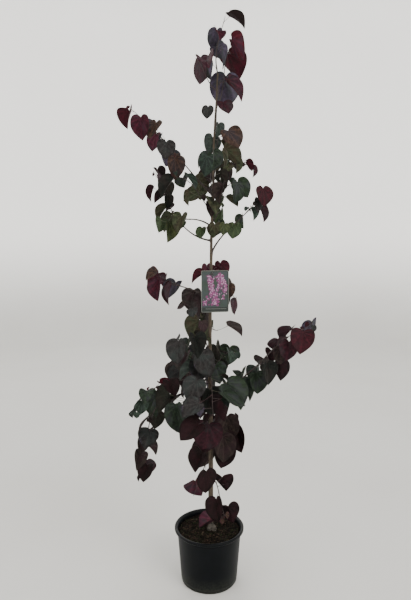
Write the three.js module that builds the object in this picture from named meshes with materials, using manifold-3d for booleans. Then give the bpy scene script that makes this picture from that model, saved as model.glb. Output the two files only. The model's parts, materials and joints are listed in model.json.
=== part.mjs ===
// A young redbud tree in a nursery pot: one thin trunk, arching shoots and
// heart-shaped leaves on long stalks. Millimetres, +Z up, origin at the centre
// of the pot's flat underside, +Y towards the back of the plant.
import * as THREE from 'three';
import { mergeVertices } from 'three/addons/utils/BufferGeometryUtils.js';
import Module from 'manifold-3d';

const wasm = await Module();
wasm.setup();

// ---------------------------------------------------------------- sizes

const CLEARANCE = 0.3; // gap left between pieces that touch

const POT = {
  height: 199,
  baseRadius: 100,
  neckRadius: 115, // just under the rim
  rimRadius: 125,
  rimDepth: 10,
  edge: 1.5, // small bevels of the rim and the foot
  wall: 2,
  facets: 48,
};

const SOIL_TOP = 184; // the compost lies a little below the pot's rim

const TRUNK = {
  top: 1775, // the leading shoot takes over here
  baseRadius: 9.2,
  topRadius: 2.3,
  flareRadius: 4.2, // added at the soil by the root flare
  flareHeight: 11, // height over which the flare fades away
  sides: 10,
  steps: 28,
  crowding: 1.7, // how much closer together its rings lie towards the foot
};

// the trunk's sway: its centre in X and Y at a few heights
const SWAY = [
  [5, 0, 150],
  [6, 2, 450],
  [2, 3, 880],
  [6, 0, 1160],
  [14, -2, 1500],
  [27, 0, 1800],
];

const LIMB = {
  boughRadius: 3.2, // a bough where it leaves the trunk
  stemRadius: 1.9, // a shoot where its leaves begin
  tipRadius: 0.8,
  stalkRadius: 0.8,
  stalkEndRadius: 0.5,
  boughSpans: 4,
  collar: 3, // bare length of a shoot outside the trunk
  pull: 0.36, // share of its span over which a shoot keeps the slope of its end
  sides: 4,
};

// half of a leaf's outline, from the notch round to the tip, for a length of 1
const LEAF_EDGE = [
  [0.2, -0.13],
  [0.5, 0.06],
  [0.47, 0.42],
  [0.18, 0.82],
];
const LEAF_MIDDLE = 0.45; // where along its midrib a leaf is thickest
const LEAF_THICKNESS = 0.024; // share of the leaf's length
const GUARD_THICKNESS = 0.05; // a leaf this thick has to miss its neighbours
const LEAF_SPACE = 150; // furthest that a leaf reaches from its twig

// what a leaf's place and pose are drawn from: angles in degrees, the rest in
// shares of the leaf's size or of the distance to the next leaf
const LEAF_DRAWS = {
  place: [0.4, 0.95],
  spread: [-55, 55],
  forward: [0, 0.8],
  rise: [-0.2, 0.6],
  stalk: [0.3, 0.7],
  turn: [-60, 60],
  droop: [25, 88],
  roll: [-50, 50],
  length: [0.72, 1.12],
  fold: [5, 52],
  curl: [0.02, 0.22],
};

const LABEL = {
  width: 95,
  height: 143,
  thickness: 0.9,
  cornerRadius: 4,
  bottom: 980,
  reach: 18, // how far it hangs in front of the trunk's centre
  turn: 8, // degrees about the vertical
  holeRadius: 5,
  holeAcross: 36, // from the card's left edge
  holeDrop: 11, // from its top edge
};

const TIE = {
  radius: 0.8,
  slack: 0.5,
  lockWidth: 13,
  lockHeight: 5,
  lockDepth: 3.5,
};

// Every shoot: the height at which it leaves the trunk, where its tip ends, its
// slope in degrees at the trunk and at the tip, the share of it that is a bare
// bough, how many leaves it bears, their length and the seed of its draws.
const SHOOTS = [
  // name, foot, tip, rise, lift, bare, leaves, size, seed
  ['leader', 1775, [51, 5, 1955], 105, 75, 0, 6, 63, 2494],
  ['upper_left', 1376, [-250, -80, 1640], 42, 35, 0.34, 8, 69, 6379],
  ['left_mid', 1225, [-190, 110, 1465], 5, 70, 0.4, 10, 60, 280],
  ['right_upper', 1360, [130, 105, 1495], 60, -30, 0.4, 8, 52, 2115],
  ['right_arc', 1180, [175, -50, 1390], 67, 65, 0.52, 6, 54, 6501],
  ['label_left', 1030, [-195, 65, 1115], 25, 40, 0.46, 6, 68, 4712],
  ['lower_right', 715, [345, -85, 940], -7, 10, 0.52, 7, 72, 5],
  ['lower_left', 775, [-245, 55, 390], 0, -90, 0.43, 11, 65, 9481],
  ['collar_front', 1415, [25, -150, 1485], 50, -45, 0, 4, 72, 9939],
  ['collar_right', 1425, [50, 35, 1575], 70, -15, 0, 4, 73, 9150],
  ['centre_left', 1315, [-110, -80, 1425], 45, -15, 0, 6, 63, 4134],
  ['right_inner', 1285, [85, -25, 1415], 45, -5, 0, 6, 64, 6575],
  ['right_low', 1262, [85, -75, 1280], 40, 15, 0, 5, 49, 1720],
  ['left_green', 1250, [-20, -60, 1265], 30, -20, 0, 3, 40, 9157],
  ['label_back', 1075, [10, 110, 1130], 45, 35, 0, 6, 57, 7860],
  ['label_under', 840, [-80, -70, 1015], 55, 20, 0, 6, 37, 2457],
  ['label_right', 915, [30, 30, 910], 50, 15, 0, 2, 75, 2279],
  ['right_green', 770, [80, 55, 825], 25, -15, 0, 5, 69, 5609],
  ['left_slate', 785, [-125, -90, 890], 25, -5, 0, 7, 79, 8209],
  ['left_green_low', 725, [-105, -85, 675], 10, -10, 0, 5, 88, 8307],
  ['front_low', 740, [10, -205, 680], 50, -55, 0, 8, 93, 8474],
  ['under', 550, [45, 60, 485], 0, -50, 0, 5, 86, 9513],
  ['foot_left', 435, [-55, -45, 335], 55, -50, 0, 2, 92, 6910],
  ['foot_right', 370, [55, -45, 260], 30, -55, 0, 4, 69, 3584],
  ['back_upper', 1310, [5, 185, 1480], 55, 30, 0.34, 7, 72, 3036],
  ['back_mid', 905, [-25, 125, 1040], 25, 10, 0, 5, 78, 26],
  ['back_low', 630, [-100, 255, 775], 45, 30, 0.37, 8, 90, 576],
  ['back_foot', 570, [65, 105, 555], 40, -45, 0, 4, 93, 5799],
  ['label_side', 1090, [95, 35, 1015], 35, -55, 0, 3, 60, 7994],
  ['left_low_side', 735, [-245, -50, 650], 10, -75, 0.48, 6, 63, 3599],
  ['left_hang', 1270, [-145, -15, 1280], 45, -20, 0.46, 4, 65, 4434],
  ['crown_left', 1720, [-45, -20, 1815], 25, 40, 0, 2, 91, 8242],
  ['crown_right', 1670, [70, 20, 1845], 45, -60, 0, 3, 104, 5620],
  ['crown_front', 1585, [30, -45, 1665], 35, -35, 0, 3, 47, 3030],
  ['crown_side', 1680, [40, -20, 1745], 45, -35, 0, 1, 74, 3526],
  ['lower_right_low', 690, [215, -10, 800], -20, -5, 0.35, 9, 78, 7570],
  ['low_left', 620, [-40, -95, 520], 30, -55, 0, 3, 89, 3254],
].map(([name, foot, tip, rise, lift, bare, leaves, size, seed]) => ({
  name, foot, tip, rise, lift, bare, leaves, size, seed,
}));

// --------------------------------------------------------- growth rule

const UP = new THREE.Vector3(0, 0, 1);
const RADIANS = Math.PI / 180;

// a repeatable run of draws between two limits, from a whole-number seed
function drawsFrom(seed) {
  let state = seed * 7919 + 12345;
  return ([low, high]) => {
    state = (Math.imul(state, 1664525) + 1013904223) >>> 0;
    return low + ((high - low) * state) / 2 ** 32;
  };
}

// the trunk's centre at a height, easing from each place of its sway to the next
function trunkCentre(height) {
  const above = SWAY.findIndex((place) => place[2] >= height);
  const [low, high] = [SWAY[above - 1], SWAY[above]];
  const share = (height - low[2]) / (high[2] - low[2]);
  const eased = share * share * (3 - 2 * share);
  const [x, y] = [0, 1].map((axis) => low[axis] + (high[axis] - low[axis]) * eased);
  return new THREE.Vector3(x, y, height);
}

function trunkRadius(height) {
  const rise = (height - SOIL_TOP) / (TRUNK.top - SOIL_TOP);
  const taper = TRUNK.baseRadius + (TRUNK.topRadius - TRUNK.baseRadius) * rise;
  return taper + TRUNK.flareRadius * Math.exp(-(height - SOIL_TOP) / TRUNK.flareHeight);
}

// a level direction tilted up by so many degrees
function tilted(level, degrees) {
  const angle = degrees * RADIANS;
  return level.clone().multiplyScalar(Math.cos(angle)).addScaledVector(UP, Math.sin(angle));
}

// the arching line of a shoot, from the trunk's centre to the shoot's tip
function shootLine({ foot, tip, rise, lift }) {
  const start = trunkCentre(foot);
  const end = new THREE.Vector3(...tip);
  const out = end.clone().sub(start).setZ(0).normalize();
  const pull = start.distanceTo(end) * LIMB.pull;
  const first = start.clone().addScaledVector(tilted(out, rise), pull);
  const second = end.clone().addScaledVector(tilted(out, lift), -pull);
  return new THREE.CubicBezierCurve3(start, first, second, end);
}

// One leaf: its stalk leaves the twig on one side, and its blade hangs from the
// stalk's end. The blade's own axes are across, midrib and normal.
function growLeaf(node, along, side, size, draw) {
  const ranges = LEAF_DRAWS;
  const stalk = side.clone().applyAxisAngle(UP, draw(ranges.spread) * RADIANS);
  stalk.addScaledVector(along, draw(ranges.forward)).addScaledVector(UP, draw(ranges.rise));
  const joint = node.clone().addScaledVector(stalk.normalize(), size * draw(ranges.stalk));
  const level = stalk.clone().setZ(0).normalize();
  level.applyAxisAngle(UP, draw(ranges.turn) * RADIANS);
  const midrib = tilted(level, -draw(ranges.droop));
  const across = level.clone().cross(UP).applyAxisAngle(midrib, draw(ranges.roll) * RADIANS);
  return {
    node,
    joint,
    across,
    midrib,
    normal: across.clone().cross(midrib),
    length: size * draw(ranges.length),
    fold: draw(ranges.fold) * RADIANS,
    curl: draw(ranges.curl),
  };
}

// the share of a shoot's line at which it is clear of the trunk and leaves begin
function leafyFrom(shoot, line) {
  if (shoot.bare > 0 || shoot.foot === TRUNK.top) return shoot.bare;
  const level = trunkRadius(shoot.foot) + LIMB.stemRadius + LIMB.collar;
  return level / Math.cos(shoot.rise * RADIANS) / line.v0.distanceTo(line.v3);
}

// the leaves of one shoot, in two ranks along the leafy part of its line
function growLeaves(shoot, line) {
  const draw = drawsFrom(shoot.seed);
  const first = leafyFrom(shoot, line);
  return Array.from({ length: shoot.leaves }, (_, i) => {
    const place = first + (1 - first) * ((i + draw(LEAF_DRAWS.place)) / shoot.leaves);
    const along = line.getTangent(place);
    const side = along.clone().cross(UP).normalize().multiplyScalar(i % 2 ? 1 : -1);
    return { place, ...growLeaf(line.getPoint(place), along, side, shoot.size, draw) };
  });
}

// a point of a blade, from its outline's numbers for a length of 1
function bladePoint(leaf, x, y) {
  const lift = Math.abs(x) * Math.sin(leaf.fold) - leaf.curl * y * y;
  return leaf.joint
    .clone()
    .addScaledVector(leaf.across, x * Math.cos(leaf.fold) * leaf.length)
    .addScaledVector(leaf.midrib, y * leaf.length)
    .addScaledVector(leaf.normal, lift * leaf.length);
}

// the blade's outline: the notch, one side, the tip and the other side
function bladeOutline(leaf) {
  const right = LEAF_EDGE.map(([x, y]) => bladePoint(leaf, x, y));
  const left = LEAF_EDGE.map(([x, y]) => bladePoint(leaf, -x, y)).reverse();
  return [bladePoint(leaf, 0, 0), ...right, bladePoint(leaf, 0, 1), ...left];
}

// -------------------------------------------------------------- solids

// a closed solid from corner points and triangles
function solidOf(points, triangles) {
  const mesh = new wasm.Mesh({
    numProp: 3,
    vertProperties: new Float32Array(points.flatMap((point) => point.toArray())),
    triVerts: new Uint32Array(triangles.flat()),
  });
  return new wasm.Manifold(mesh);
}

// A round bar through a list of rings, each with a centre, a direction and a
// radius. It is closed by flat ends, or joins its own start as a loop.
function roundBar(rings, sides, guide, isLoop = false) {
  const points = [];
  for (const { centre, along, radius } of rings) {
    const across = guide.clone().addScaledVector(along, -guide.dot(along)).normalize();
    const third = along.clone().cross(across);
    for (let i = 0; i < sides; i++) {
      const angle = (2 * Math.PI * i) / sides;
      const point = centre.clone().addScaledVector(across, radius * Math.cos(angle));
      points.push(point.addScaledVector(third, radius * Math.sin(angle)));
    }
  }
  const triangles = [];
  const spans = isLoop ? rings.length : rings.length - 1;
  for (let k = 0; k < spans; k++) {
    for (let i = 0; i < sides; i++) {
      const [here, beside] = [k * sides + i, k * sides + ((i + 1) % sides)];
      const [above, across] = [here, beside].map((index) => (index + sides) % points.length);
      triangles.push([here, beside, across], [here, across, above]);
    }
  }
  const last = points.length - sides;
  for (let i = 1; i < sides - 1 && !isLoop; i++) {
    triangles.push([0, i + 1, i], [last, last + i, last + i + 1]);
  }
  return solidOf(points, triangles);
}

// a limb through some places of a shoot's line, thinning evenly to its end
function taperedLimb(line, places, startRadius, endRadius) {
  const guide = line.getTangent(0).cross(UP).normalize();
  const [first, last] = [places[0], places.at(-1)];
  const rings = places.map((place) => {
    const share = (place - first) / (last - first);
    const radius = startRadius + (endRadius - startRadius) * share;
    return { centre: line.getPoint(place), along: line.getTangent(place), radius };
  });
  return roundBar(rings, LIMB.sides, guide);
}

// the trunk with its root flare, or a thicker copy that others are cut clear of
function trunkSolid(extra = 0) {
  const rings = [];
  const bottom = SOIL_TOP + CLEARANCE;
  for (let i = 0; i <= TRUNK.steps; i++) {
    const height = bottom + (TRUNK.top - bottom) * (i / TRUNK.steps) ** TRUNK.crowding;
    rings.push({ centre: trunkCentre(height), along: UP, radius: trunkRadius(height) + extra });
  }
  return roundBar(rings, TRUNK.sides, new THREE.Vector3(1, 0, 0));
}

// the foot and the sides of a four-sided stalk, whose end is left open
const STALK_SIDES = [
  [0, 1, 2],
  [0, 2, 3],
  ...[0, 1, 2, 3].flatMap((i) => {
    const next = (i + 1) % 4;
    return [[4 + i, 4 + next, next], [4 + i, next, i]];
  }),
];

// A blade that is thickest in its middle, with a sharp edge. It is a closed
// lens by itself, or opens at its notch onto the end of a stalk.
function bladeTriangles(rim, upper, lower) {
  return rim.slice(1).flatMap((next, i) => [[upper, rim[i], next], [lower, next, rim[i]]]);
}

function bladeMiddle(leaf, thickness) {
  const half = leaf.normal.clone().multiplyScalar((leaf.length * thickness) / 2);
  const middle = bladePoint(leaf, 0, LEAF_MIDDLE);
  return [middle.clone().add(half), middle.clone().sub(half)];
}

function bladeSolid(leaf, thickness) {
  const outline = bladeOutline(leaf);
  const count = outline.length;
  const rim = Array.from({ length: count + 1 }, (_, i) => i % count);
  const points = [...outline, ...bladeMiddle(leaf, thickness)];
  return solidOf(points, bladeTriangles(rim, count, count + 1));
}

// the four corners of a leaf's stalk about a place: right, over, left, under
function stalkRing(leaf, centre, radius) {
  const inward = leaf.joint.clone().sub(leaf.node).normalize();
  const under = inward.cross(leaf.across).normalize();
  const corners = [[leaf.across, 1], [under, -1], [leaf.across, -1], [under, 1]];
  return corners.map(([axis, sign]) => centre.clone().addScaledVector(axis, sign * radius));
}

// the leaf's stalk by itself, from the middle of its twig to its blade
function stalkSolid(leaf) {
  const foot = stalkRing(leaf, leaf.node, LIMB.stalkRadius);
  const end = stalkRing(leaf, leaf.joint, LIMB.stalkEndRadius);
  return solidOf([...foot, ...end], [...STALK_SIDES, [4, 7, 6], [4, 6, 5]]);
}

// a whole leaf in one closed piece
function leafSolid(leaf) {
  const foot = stalkRing(leaf, leaf.node, LIMB.stalkRadius);
  const end = stalkRing(leaf, leaf.joint, LIMB.stalkEndRadius);
  const edge = bladeOutline(leaf).slice(1);
  const points = [...foot, ...end, ...edge, ...bladeMiddle(leaf, LEAF_THICKNESS)];
  const [upper, lower] = [points.length - 2, points.length - 1];
  const rim = [4, ...edge.map((_, i) => 8 + i), 6];
  const notch = [[upper, 6, 5], [upper, 5, 4], [lower, 7, 6], [lower, 4, 7]];
  return solidOf(points, [...STALK_SIDES, ...bladeTriangles(rim, upper, lower), ...notch]);
}

// a solid from one of three's closed shapes, turned and moved into place
function solidFrom(geometry, matrix = new THREE.Matrix4()) {
  const plain = geometry.clone().applyMatrix4(matrix);
  plain.deleteAttribute('normal');
  plain.deleteAttribute('uv');
  const merged = mergeVertices(plain, 1e-4);
  const mesh = new wasm.Mesh({
    numProp: 3,
    vertProperties: new Float32Array(merged.attributes.position.array),
    triVerts: new Uint32Array(merged.index.array),
  });
  return new wasm.Manifold(mesh);
}

// the largest connected piece of a solid, so that no loose scrap is left
function mainPiece(solid) {
  const pieces = solid.decompose();
  return pieces.reduce((best, piece) => (piece.volume() > best.volume() ? piece : best));
}

function touches(solid, others) {
  return others.some((other) => !solid.intersect(other).isEmpty());
}

// ------------------------------------------------------------ the parts

const POT_SLOPE = (POT.neckRadius - POT.baseRadius) / (POT.height - POT.rimDepth);

// LatheGeometry turns its profile about Y, so what it makes is stood up along Z
const STAND_UP = new THREE.Matrix4().makeRotationX(Math.PI / 2);

// a round solid from its profile, as pairs of a radius and a height
function turnedSolid(profile) {
  const corners = profile.map(([radius, height]) => new THREE.Vector2(radius, height));
  return solidFrom(new THREE.LatheGeometry(corners, POT.facets), STAND_UP);
}

// the pot: a flat underside, a wall that widens upwards and a thick rolled rim
function potSolid() {
  const { height, baseRadius, neckRadius, rimRadius, rimDepth, edge, wall } = POT;
  const neck = height - rimDepth;
  const profile = [
    [0, 0],
    [baseRadius - 2 * edge, 0],
    [baseRadius, 2 * edge],
    [neckRadius, neck],
    [rimRadius - edge, neck],
    [rimRadius, neck + edge],
    [rimRadius, height - edge],
    [rimRadius - edge, height],
    [neckRadius + edge, height],
    [neckRadius - wall, height - 2 * edge],
    [neckRadius - wall, neck],
    [baseRadius - wall + POT_SLOPE * wall, wall],
    [0, wall],
  ];
  return turnedSolid(profile);
}

// the compost, which fills the pot to a little below its rim
function soilSolid() {
  const bottom = POT.wall + CLEARANCE;
  const radiusAt = (height) => POT.baseRadius - POT.wall - CLEARANCE + POT_SLOPE * height;
  const profile = [
    [0, bottom],
    [radiusAt(bottom), bottom],
    [radiusAt(SOIL_TOP), SOIL_TOP],
    [0, SOIL_TOP],
  ];
  return turnedSolid(profile);
}

// the bare foot of a long shoot, cut to meet the trunk
function boughSolid(shoot, line, clearTrunk) {
  const spans = LIMB.boughSpans;
  const places = Array.from({ length: spans + 1 }, (_, i) => (shoot.bare * i) / spans);
  return taperedLimb(line, places, LIMB.boughRadius, LIMB.stemRadius).subtract(clearTrunk);
}

// a shoot's leafy stem, from just clear of the trunk or of its bough to its tip
function stemSolid(shoot, line, leaves, clearTrunk) {
  const isLeader = shoot.foot === TRUNK.top;
  const gap = CLEARANCE / line.getLength();
  const start = shoot.bare || isLeader ? shoot.bare + gap : 0;
  const startRadius = isLeader ? TRUNK.topRadius : LIMB.stemRadius;
  const places = [start, ...leaves.map((leaf) => leaf.place), 1];
  return taperedLimb(line, places, startRadius, LIMB.tipRadius).subtract(clearTrunk);
}

// a place in front of the trunk at the height of the label's hole: +X runs
// out to the front there, and the label hangs square to it
function labelFrame() {
  const centre = trunkCentre(LABEL.bottom + LABEL.height - LABEL.holeDrop);
  const turn = new THREE.Matrix4().makeRotationZ((LABEL.turn - 90) * RADIANS);
  return new THREE.Matrix4().makeTranslation(centre.x, centre.y, centre.z).multiply(turn);
}

// the label: a thin card with rounded corners and one hole near its top edge
function labelSolid() {
  const { width, height, cornerRadius: r, holeAcross, holeDrop } = LABEL;
  const card = new THREE.Shape();
  card.absarc(width - r, r, r, -Math.PI / 2, 0);
  card.absarc(width - r, height - r, r, 0, Math.PI / 2);
  card.absarc(r, height - r, r, Math.PI / 2, Math.PI);
  card.absarc(r, r, r, Math.PI, 1.5 * Math.PI);
  const hole = new THREE.Path();
  hole.absarc(holeAcross, height - holeDrop, LABEL.holeRadius, 0, 2 * Math.PI, true);
  card.holes.push(hole);
  const options = { depth: LABEL.thickness, bevelEnabled: false, curveSegments: 5 };
  const place = labelFrame()
    .multiply(new THREE.Matrix4().makeRotationZ(Math.PI / 2))
    .multiply(STAND_UP)
    .multiply(new THREE.Matrix4().makeTranslation(-holeAcross, holeDrop - height, LABEL.reach));
  return solidFrom(new THREE.ExtrudeGeometry(card, options), place);
}

// the points of a level arc about a place on the tie's own X axis
function tieArc(along, radius, from, to, count) {
  return Array.from({ length: count + 1 }, (_, i) => {
    const angle = (from + ((to - from) * i) / count) * RADIANS;
    return new THREE.Vector3(along + radius * Math.cos(angle), radius * Math.sin(angle), 0);
  });
}

// the tie: a loop round the trunk whose front passes through the label's hole
// and is held there by a small lock
function tieSolid() {
  const frame = labelFrame();
  const wide = trunkRadius(frame.elements[14]) + TIE.radius + TIE.slack;
  const narrow = TIE.radius + TIE.slack;
  const lockCentre = LABEL.reach + LABEL.thickness + TIE.slack + TIE.lockDepth / 2;
  const places = [
    ...tieArc(0, wide, 100, 260, 8),
    ...tieArc(lockCentre - narrow, narrow, -90, 90, 4),
  ];
  const rings = places.map((centre, i) => {
    const next = places[(i + 1) % places.length];
    const previous = places.at(i - 1);
    return { centre, along: next.clone().sub(previous).normalize(), radius: TIE.radius };
  });
  const loop = roundBar(rings, 6, UP, true).transform(frame.elements);
  const lock = new THREE.BoxGeometry(TIE.lockDepth, TIE.lockWidth, TIE.lockHeight);
  const lockPlace = frame.clone().multiply(new THREE.Matrix4().makeTranslation(lockCentre, 0, 0));
  return loop.add(solidFrom(lock, lockPlace));
}

// Every leaf that keeps to its mass's space is grown on, unless its blade or
// stalk touches a limb or a leaf that is already there.
function growMass({ stem, leaves }, otherLimbs, earlier) {
  const blades = [];
  const parts = [stem];
  for (const leaf of leaves) {
    const guard = bladeSolid(leaf, GUARD_THICKNESS);
    const stalk = stalkSolid(leaf);
    const reach = Math.max(...bladeOutline(leaf).map((point) => point.distanceTo(leaf.node)));
    const isBlocked = touches(guard, [stem, otherLimbs, earlier, ...blades])
      || touches(stalk, [otherLimbs, earlier, ...blades]);
    if (reach > LEAF_SPACE || isBlocked) continue;
    blades.push(guard);
    parts.push(leafSolid(leaf));
  }
  return { solid: mainPiece(wasm.Manifold.union(parts)), guards: blades };
}

// ------------------------------------------------------------ the model

const group = new THREE.Group();

const FINISHES = {
  plastic: { color: 0x16191b, roughness: 0.55, metalness: 0 },
  compost: { color: 0x2a241c, roughness: 1, metalness: 0 },
  bark: { color: 0x5a4a3e, roughness: 0.85, metalness: 0 },
  leaf: { color: 0x3f3035, roughness: 0.6, metalness: 0 },
  card: { color: 0x8a7482, roughness: 0.4, metalness: 0 },
};

// one named piece of the plant, from its finished solid
function addPiece(name, solid, finish) {
  const { vertProperties, triVerts } = solid.getMesh();
  const geometry = new THREE.BufferGeometry();
  geometry.setAttribute('position', new THREE.BufferAttribute(vertProperties, 3));
  geometry.setIndex(new THREE.BufferAttribute(triVerts, 1));
  geometry.computeVertexNormals();
  const piece = new THREE.Mesh(geometry, new THREE.MeshStandardMaterial(FINISHES[finish]));
  piece.name = name;
  group.add(piece);
}

const firm = { pot: potSolid(), soil: soilSolid(), trunk: trunkSolid() };
const label = { label_card: labelSolid(), label_tie: tieSolid() };
const clearTrunk = trunkSolid(CLEARANCE);
const limbs = SHOOTS.map((shoot) => {
  const line = shootLine(shoot);
  const leaves = growLeaves(shoot, line);
  const bough = shoot.bare > 0 ? boughSolid(shoot, line, clearTrunk) : null;
  return { name: shoot.name, leaves, bough, stem: stemSolid(shoot, line, leaves, clearTrunk) };
});

addPiece('pot', firm.pot, 'plastic');
addPiece('soil', firm.soil, 'compost');
addPiece('trunk', firm.trunk, 'bark');
addPiece('label_card', label.label_card, 'card');
addPiece('label_tie', label.label_tie, 'plastic');

let earlier = wasm.Manifold.union([...Object.values(firm), ...Object.values(label)]);
for (const limb of limbs) {
  if (limb.bough) addPiece(`bough_${limb.name}`, limb.bough, 'bark');
  const others = limbs.flatMap((other) => [other.bough, other === limb ? null : other.stem]);
  const { solid, guards } = growMass(limb, wasm.Manifold.union(others.filter(Boolean)), earlier);
  earlier = wasm.Manifold.union([earlier, solid, ...guards]);
  addPiece(`foliage_${limb.name}`, solid, 'leaf');
}

export default group;
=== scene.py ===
"""A young redbud tree in a nursery pot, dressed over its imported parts.

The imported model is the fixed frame. The shoots grow here by the same seeded rule as in
the part's source, and are carried on to fine bark, stalks, buds, veined leaves and young
leaves. Sizes are millimetres unless a name ends in _m, and the meshes are in metres:
+Z up, origin at the centre of the pot's flat underside, +Y towards the plant's back.
"""

from __future__ import annotations

import json
import logging
import math
from dataclasses import dataclass, field
from enum import Enum, IntEnum
from functools import cached_property, lru_cache
from typing import Any, Sequence

import bmesh
import bpy
import numpy as np
from mathutils import Matrix, Vector
from mathutils.bvhtree import BVHTree

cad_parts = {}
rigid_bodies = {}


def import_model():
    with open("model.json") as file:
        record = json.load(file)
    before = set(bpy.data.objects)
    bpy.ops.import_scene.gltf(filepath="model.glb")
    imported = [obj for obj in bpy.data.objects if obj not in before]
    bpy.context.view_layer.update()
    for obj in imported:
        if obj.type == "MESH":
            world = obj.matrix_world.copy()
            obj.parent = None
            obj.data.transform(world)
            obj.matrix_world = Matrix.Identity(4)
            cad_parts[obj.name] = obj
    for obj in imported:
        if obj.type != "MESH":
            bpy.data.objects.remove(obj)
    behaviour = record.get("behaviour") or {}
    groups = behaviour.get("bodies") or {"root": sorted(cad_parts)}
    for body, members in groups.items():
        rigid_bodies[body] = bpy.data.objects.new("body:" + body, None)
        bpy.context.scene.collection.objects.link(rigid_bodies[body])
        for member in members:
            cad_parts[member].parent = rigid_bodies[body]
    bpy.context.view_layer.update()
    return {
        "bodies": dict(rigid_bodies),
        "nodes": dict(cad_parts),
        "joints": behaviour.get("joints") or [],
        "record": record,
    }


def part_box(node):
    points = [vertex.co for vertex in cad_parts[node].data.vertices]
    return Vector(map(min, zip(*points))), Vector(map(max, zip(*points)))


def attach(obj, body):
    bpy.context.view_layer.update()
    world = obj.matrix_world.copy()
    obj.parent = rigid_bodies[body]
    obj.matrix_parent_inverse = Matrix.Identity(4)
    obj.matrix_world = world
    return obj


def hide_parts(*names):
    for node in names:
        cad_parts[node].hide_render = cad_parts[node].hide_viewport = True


log = logging.getLogger("redbud")

Tree = bpy.types.NodeTree
Socket = bpy.types.NodeSocket
Object = bpy.types.Object
Mesh = bpy.types.Mesh
Array = np.ndarray
Faces = list[Array]
Shape = tuple[Array, Faces]

MM = 0.001
BODY = "root"
UP = np.array([0.0, 0.0, 1.0])


# ---- materials


def linear(colour: str) -> tuple[float, float, float, float]:
    """Turns an sRGB hex value into the linear colour that a shader takes.

    Args:
        colour: Six hex digits after a hash.

    Returns:
        Linear red, green and blue, and an alpha of one.
    """
    shares = [value / 255 for value in bytes.fromhex(colour[1:])]
    red, green, blue = (
        c / 12.92 if c <= 0.04045 else ((c + 0.055) / 1.055) ** 2.4 for c in shares
    )
    return red, green, blue, 1.0


def shaded(colour: str, share: float) -> str:
    """Gives a darker or paler shade of an sRGB hex colour."""
    shades = [min(255, round(value * share)) for value in bytes.fromhex(colour[1:])]
    return "#" + bytes(shades).hex()


def per_metre(size: float) -> float:
    """Gives the scale of a pattern whose features are so many millimetres wide."""
    return 1.0 / (size * MM)


def add_node(tree: Tree, kind: str, inputs: dict[Any, Any] | None = None, **settings: Any) -> Any:
    """Adds one node to a tree, with its settings and what feeds it.

    Args:
        tree: The tree that takes the node.
        kind: The node's type.
        inputs: A value or an output socket for each input, by its name or number.
        settings: The node's own attributes.

    Returns:
        The new node's outputs.
    """
    node = tree.nodes.new(kind)
    for name, value in settings.items():
        setattr(node, name, value)
    for key, value in (inputs or {}).items():
        if isinstance(value, Socket):
            tree.links.new(value, node.inputs[key])
        else:
            node.inputs[key].default_value = value
    return node.outputs


@dataclass(frozen=True)
class Finish:
    """A surface of one real material, as it was grown or made.

    The deep colour fills spots of the given size. The grain is the width of the surface
    relief, and stretch is how many times longer both are along Z than across.
    """

    name: str
    colour: str
    deep: str
    roughness: float
    ior: float = 1.45
    spot: float = 9.0
    grain: float = 1.5
    relief: float = 0.1
    stretch: float = 1.0
    shine: float = 0.5

    def material(self) -> bpy.types.Material:
        """Gives the Blender material, made once."""
        return bpy.data.materials.get(self.name) or self.made()

    def made(self) -> bpy.types.Material:
        """Builds the material: spots of colour over a fine relief.

        Returns:
            The material.
        """
        material = bpy.data.materials.new(self.name)
        material.use_nodes = True
        material.diffuse_color = linear(self.colour)
        tree = material.node_tree
        shader = tree.nodes["Principled BSDF"]
        look = {"Roughness": self.roughness, "IOR": self.ior, "Specular IOR Level": self.shine}
        for label, value in look.items():
            shader.inputs[label].default_value = value
        where = add_node(tree, "ShaderNodeTexCoord")["Object"]
        inputs = {"Vector": where, "Scale": (1.0, 1.0, 1.0 / self.stretch)}
        place = add_node(tree, "ShaderNodeMapping", inputs)[0]
        inputs = {"Height": self.height(tree, place), "Distance": self.relief * MM, "Strength": 1.0}
        bump = add_node(tree, "ShaderNodeBump", inputs)
        tree.links.new(bump[0], shader.inputs["Normal"])
        tree.links.new(self.tint(tree, place), shader.inputs["Base Color"])
        self.finish_off(tree, place)
        return material

    def finish_off(self, tree: Tree, place: Socket) -> None:
        """Adds what only one kind of finish has."""

    def tint(self, tree: Tree, place: Socket) -> Socket:
        """Gives the colour: the main one, with softly bounded darker spots.

        Args:
            tree: The material's tree.
            place: The place on the object.

        Returns:
            The colour's socket.
        """
        inputs = {"Vector": place, "Scale": per_metre(self.spot), "Detail": 3.0}
        spots = add_node(tree, "ShaderNodeTexNoise", inputs)["Fac"]
        inputs = {"Value": spots, "From Min": 0.38, "From Max": 0.66}
        share = add_node(tree, "ShaderNodeMapRange", inputs)[0]
        inputs = {0: share, 6: linear(self.colour), 7: linear(self.deep)}
        return add_node(tree, "ShaderNodeMix", inputs, data_type="RGBA")[2]

    def height(self, tree: Tree, place: Socket) -> Socket:
        """Gives the height of the surface's fine grain, from 0 to 1."""
        inputs = {"Vector": place, "Scale": per_metre(self.grain), "Detail": 4.0}
        return add_node(tree, "ShaderNodeTexNoise", inputs)["Fac"]


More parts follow.
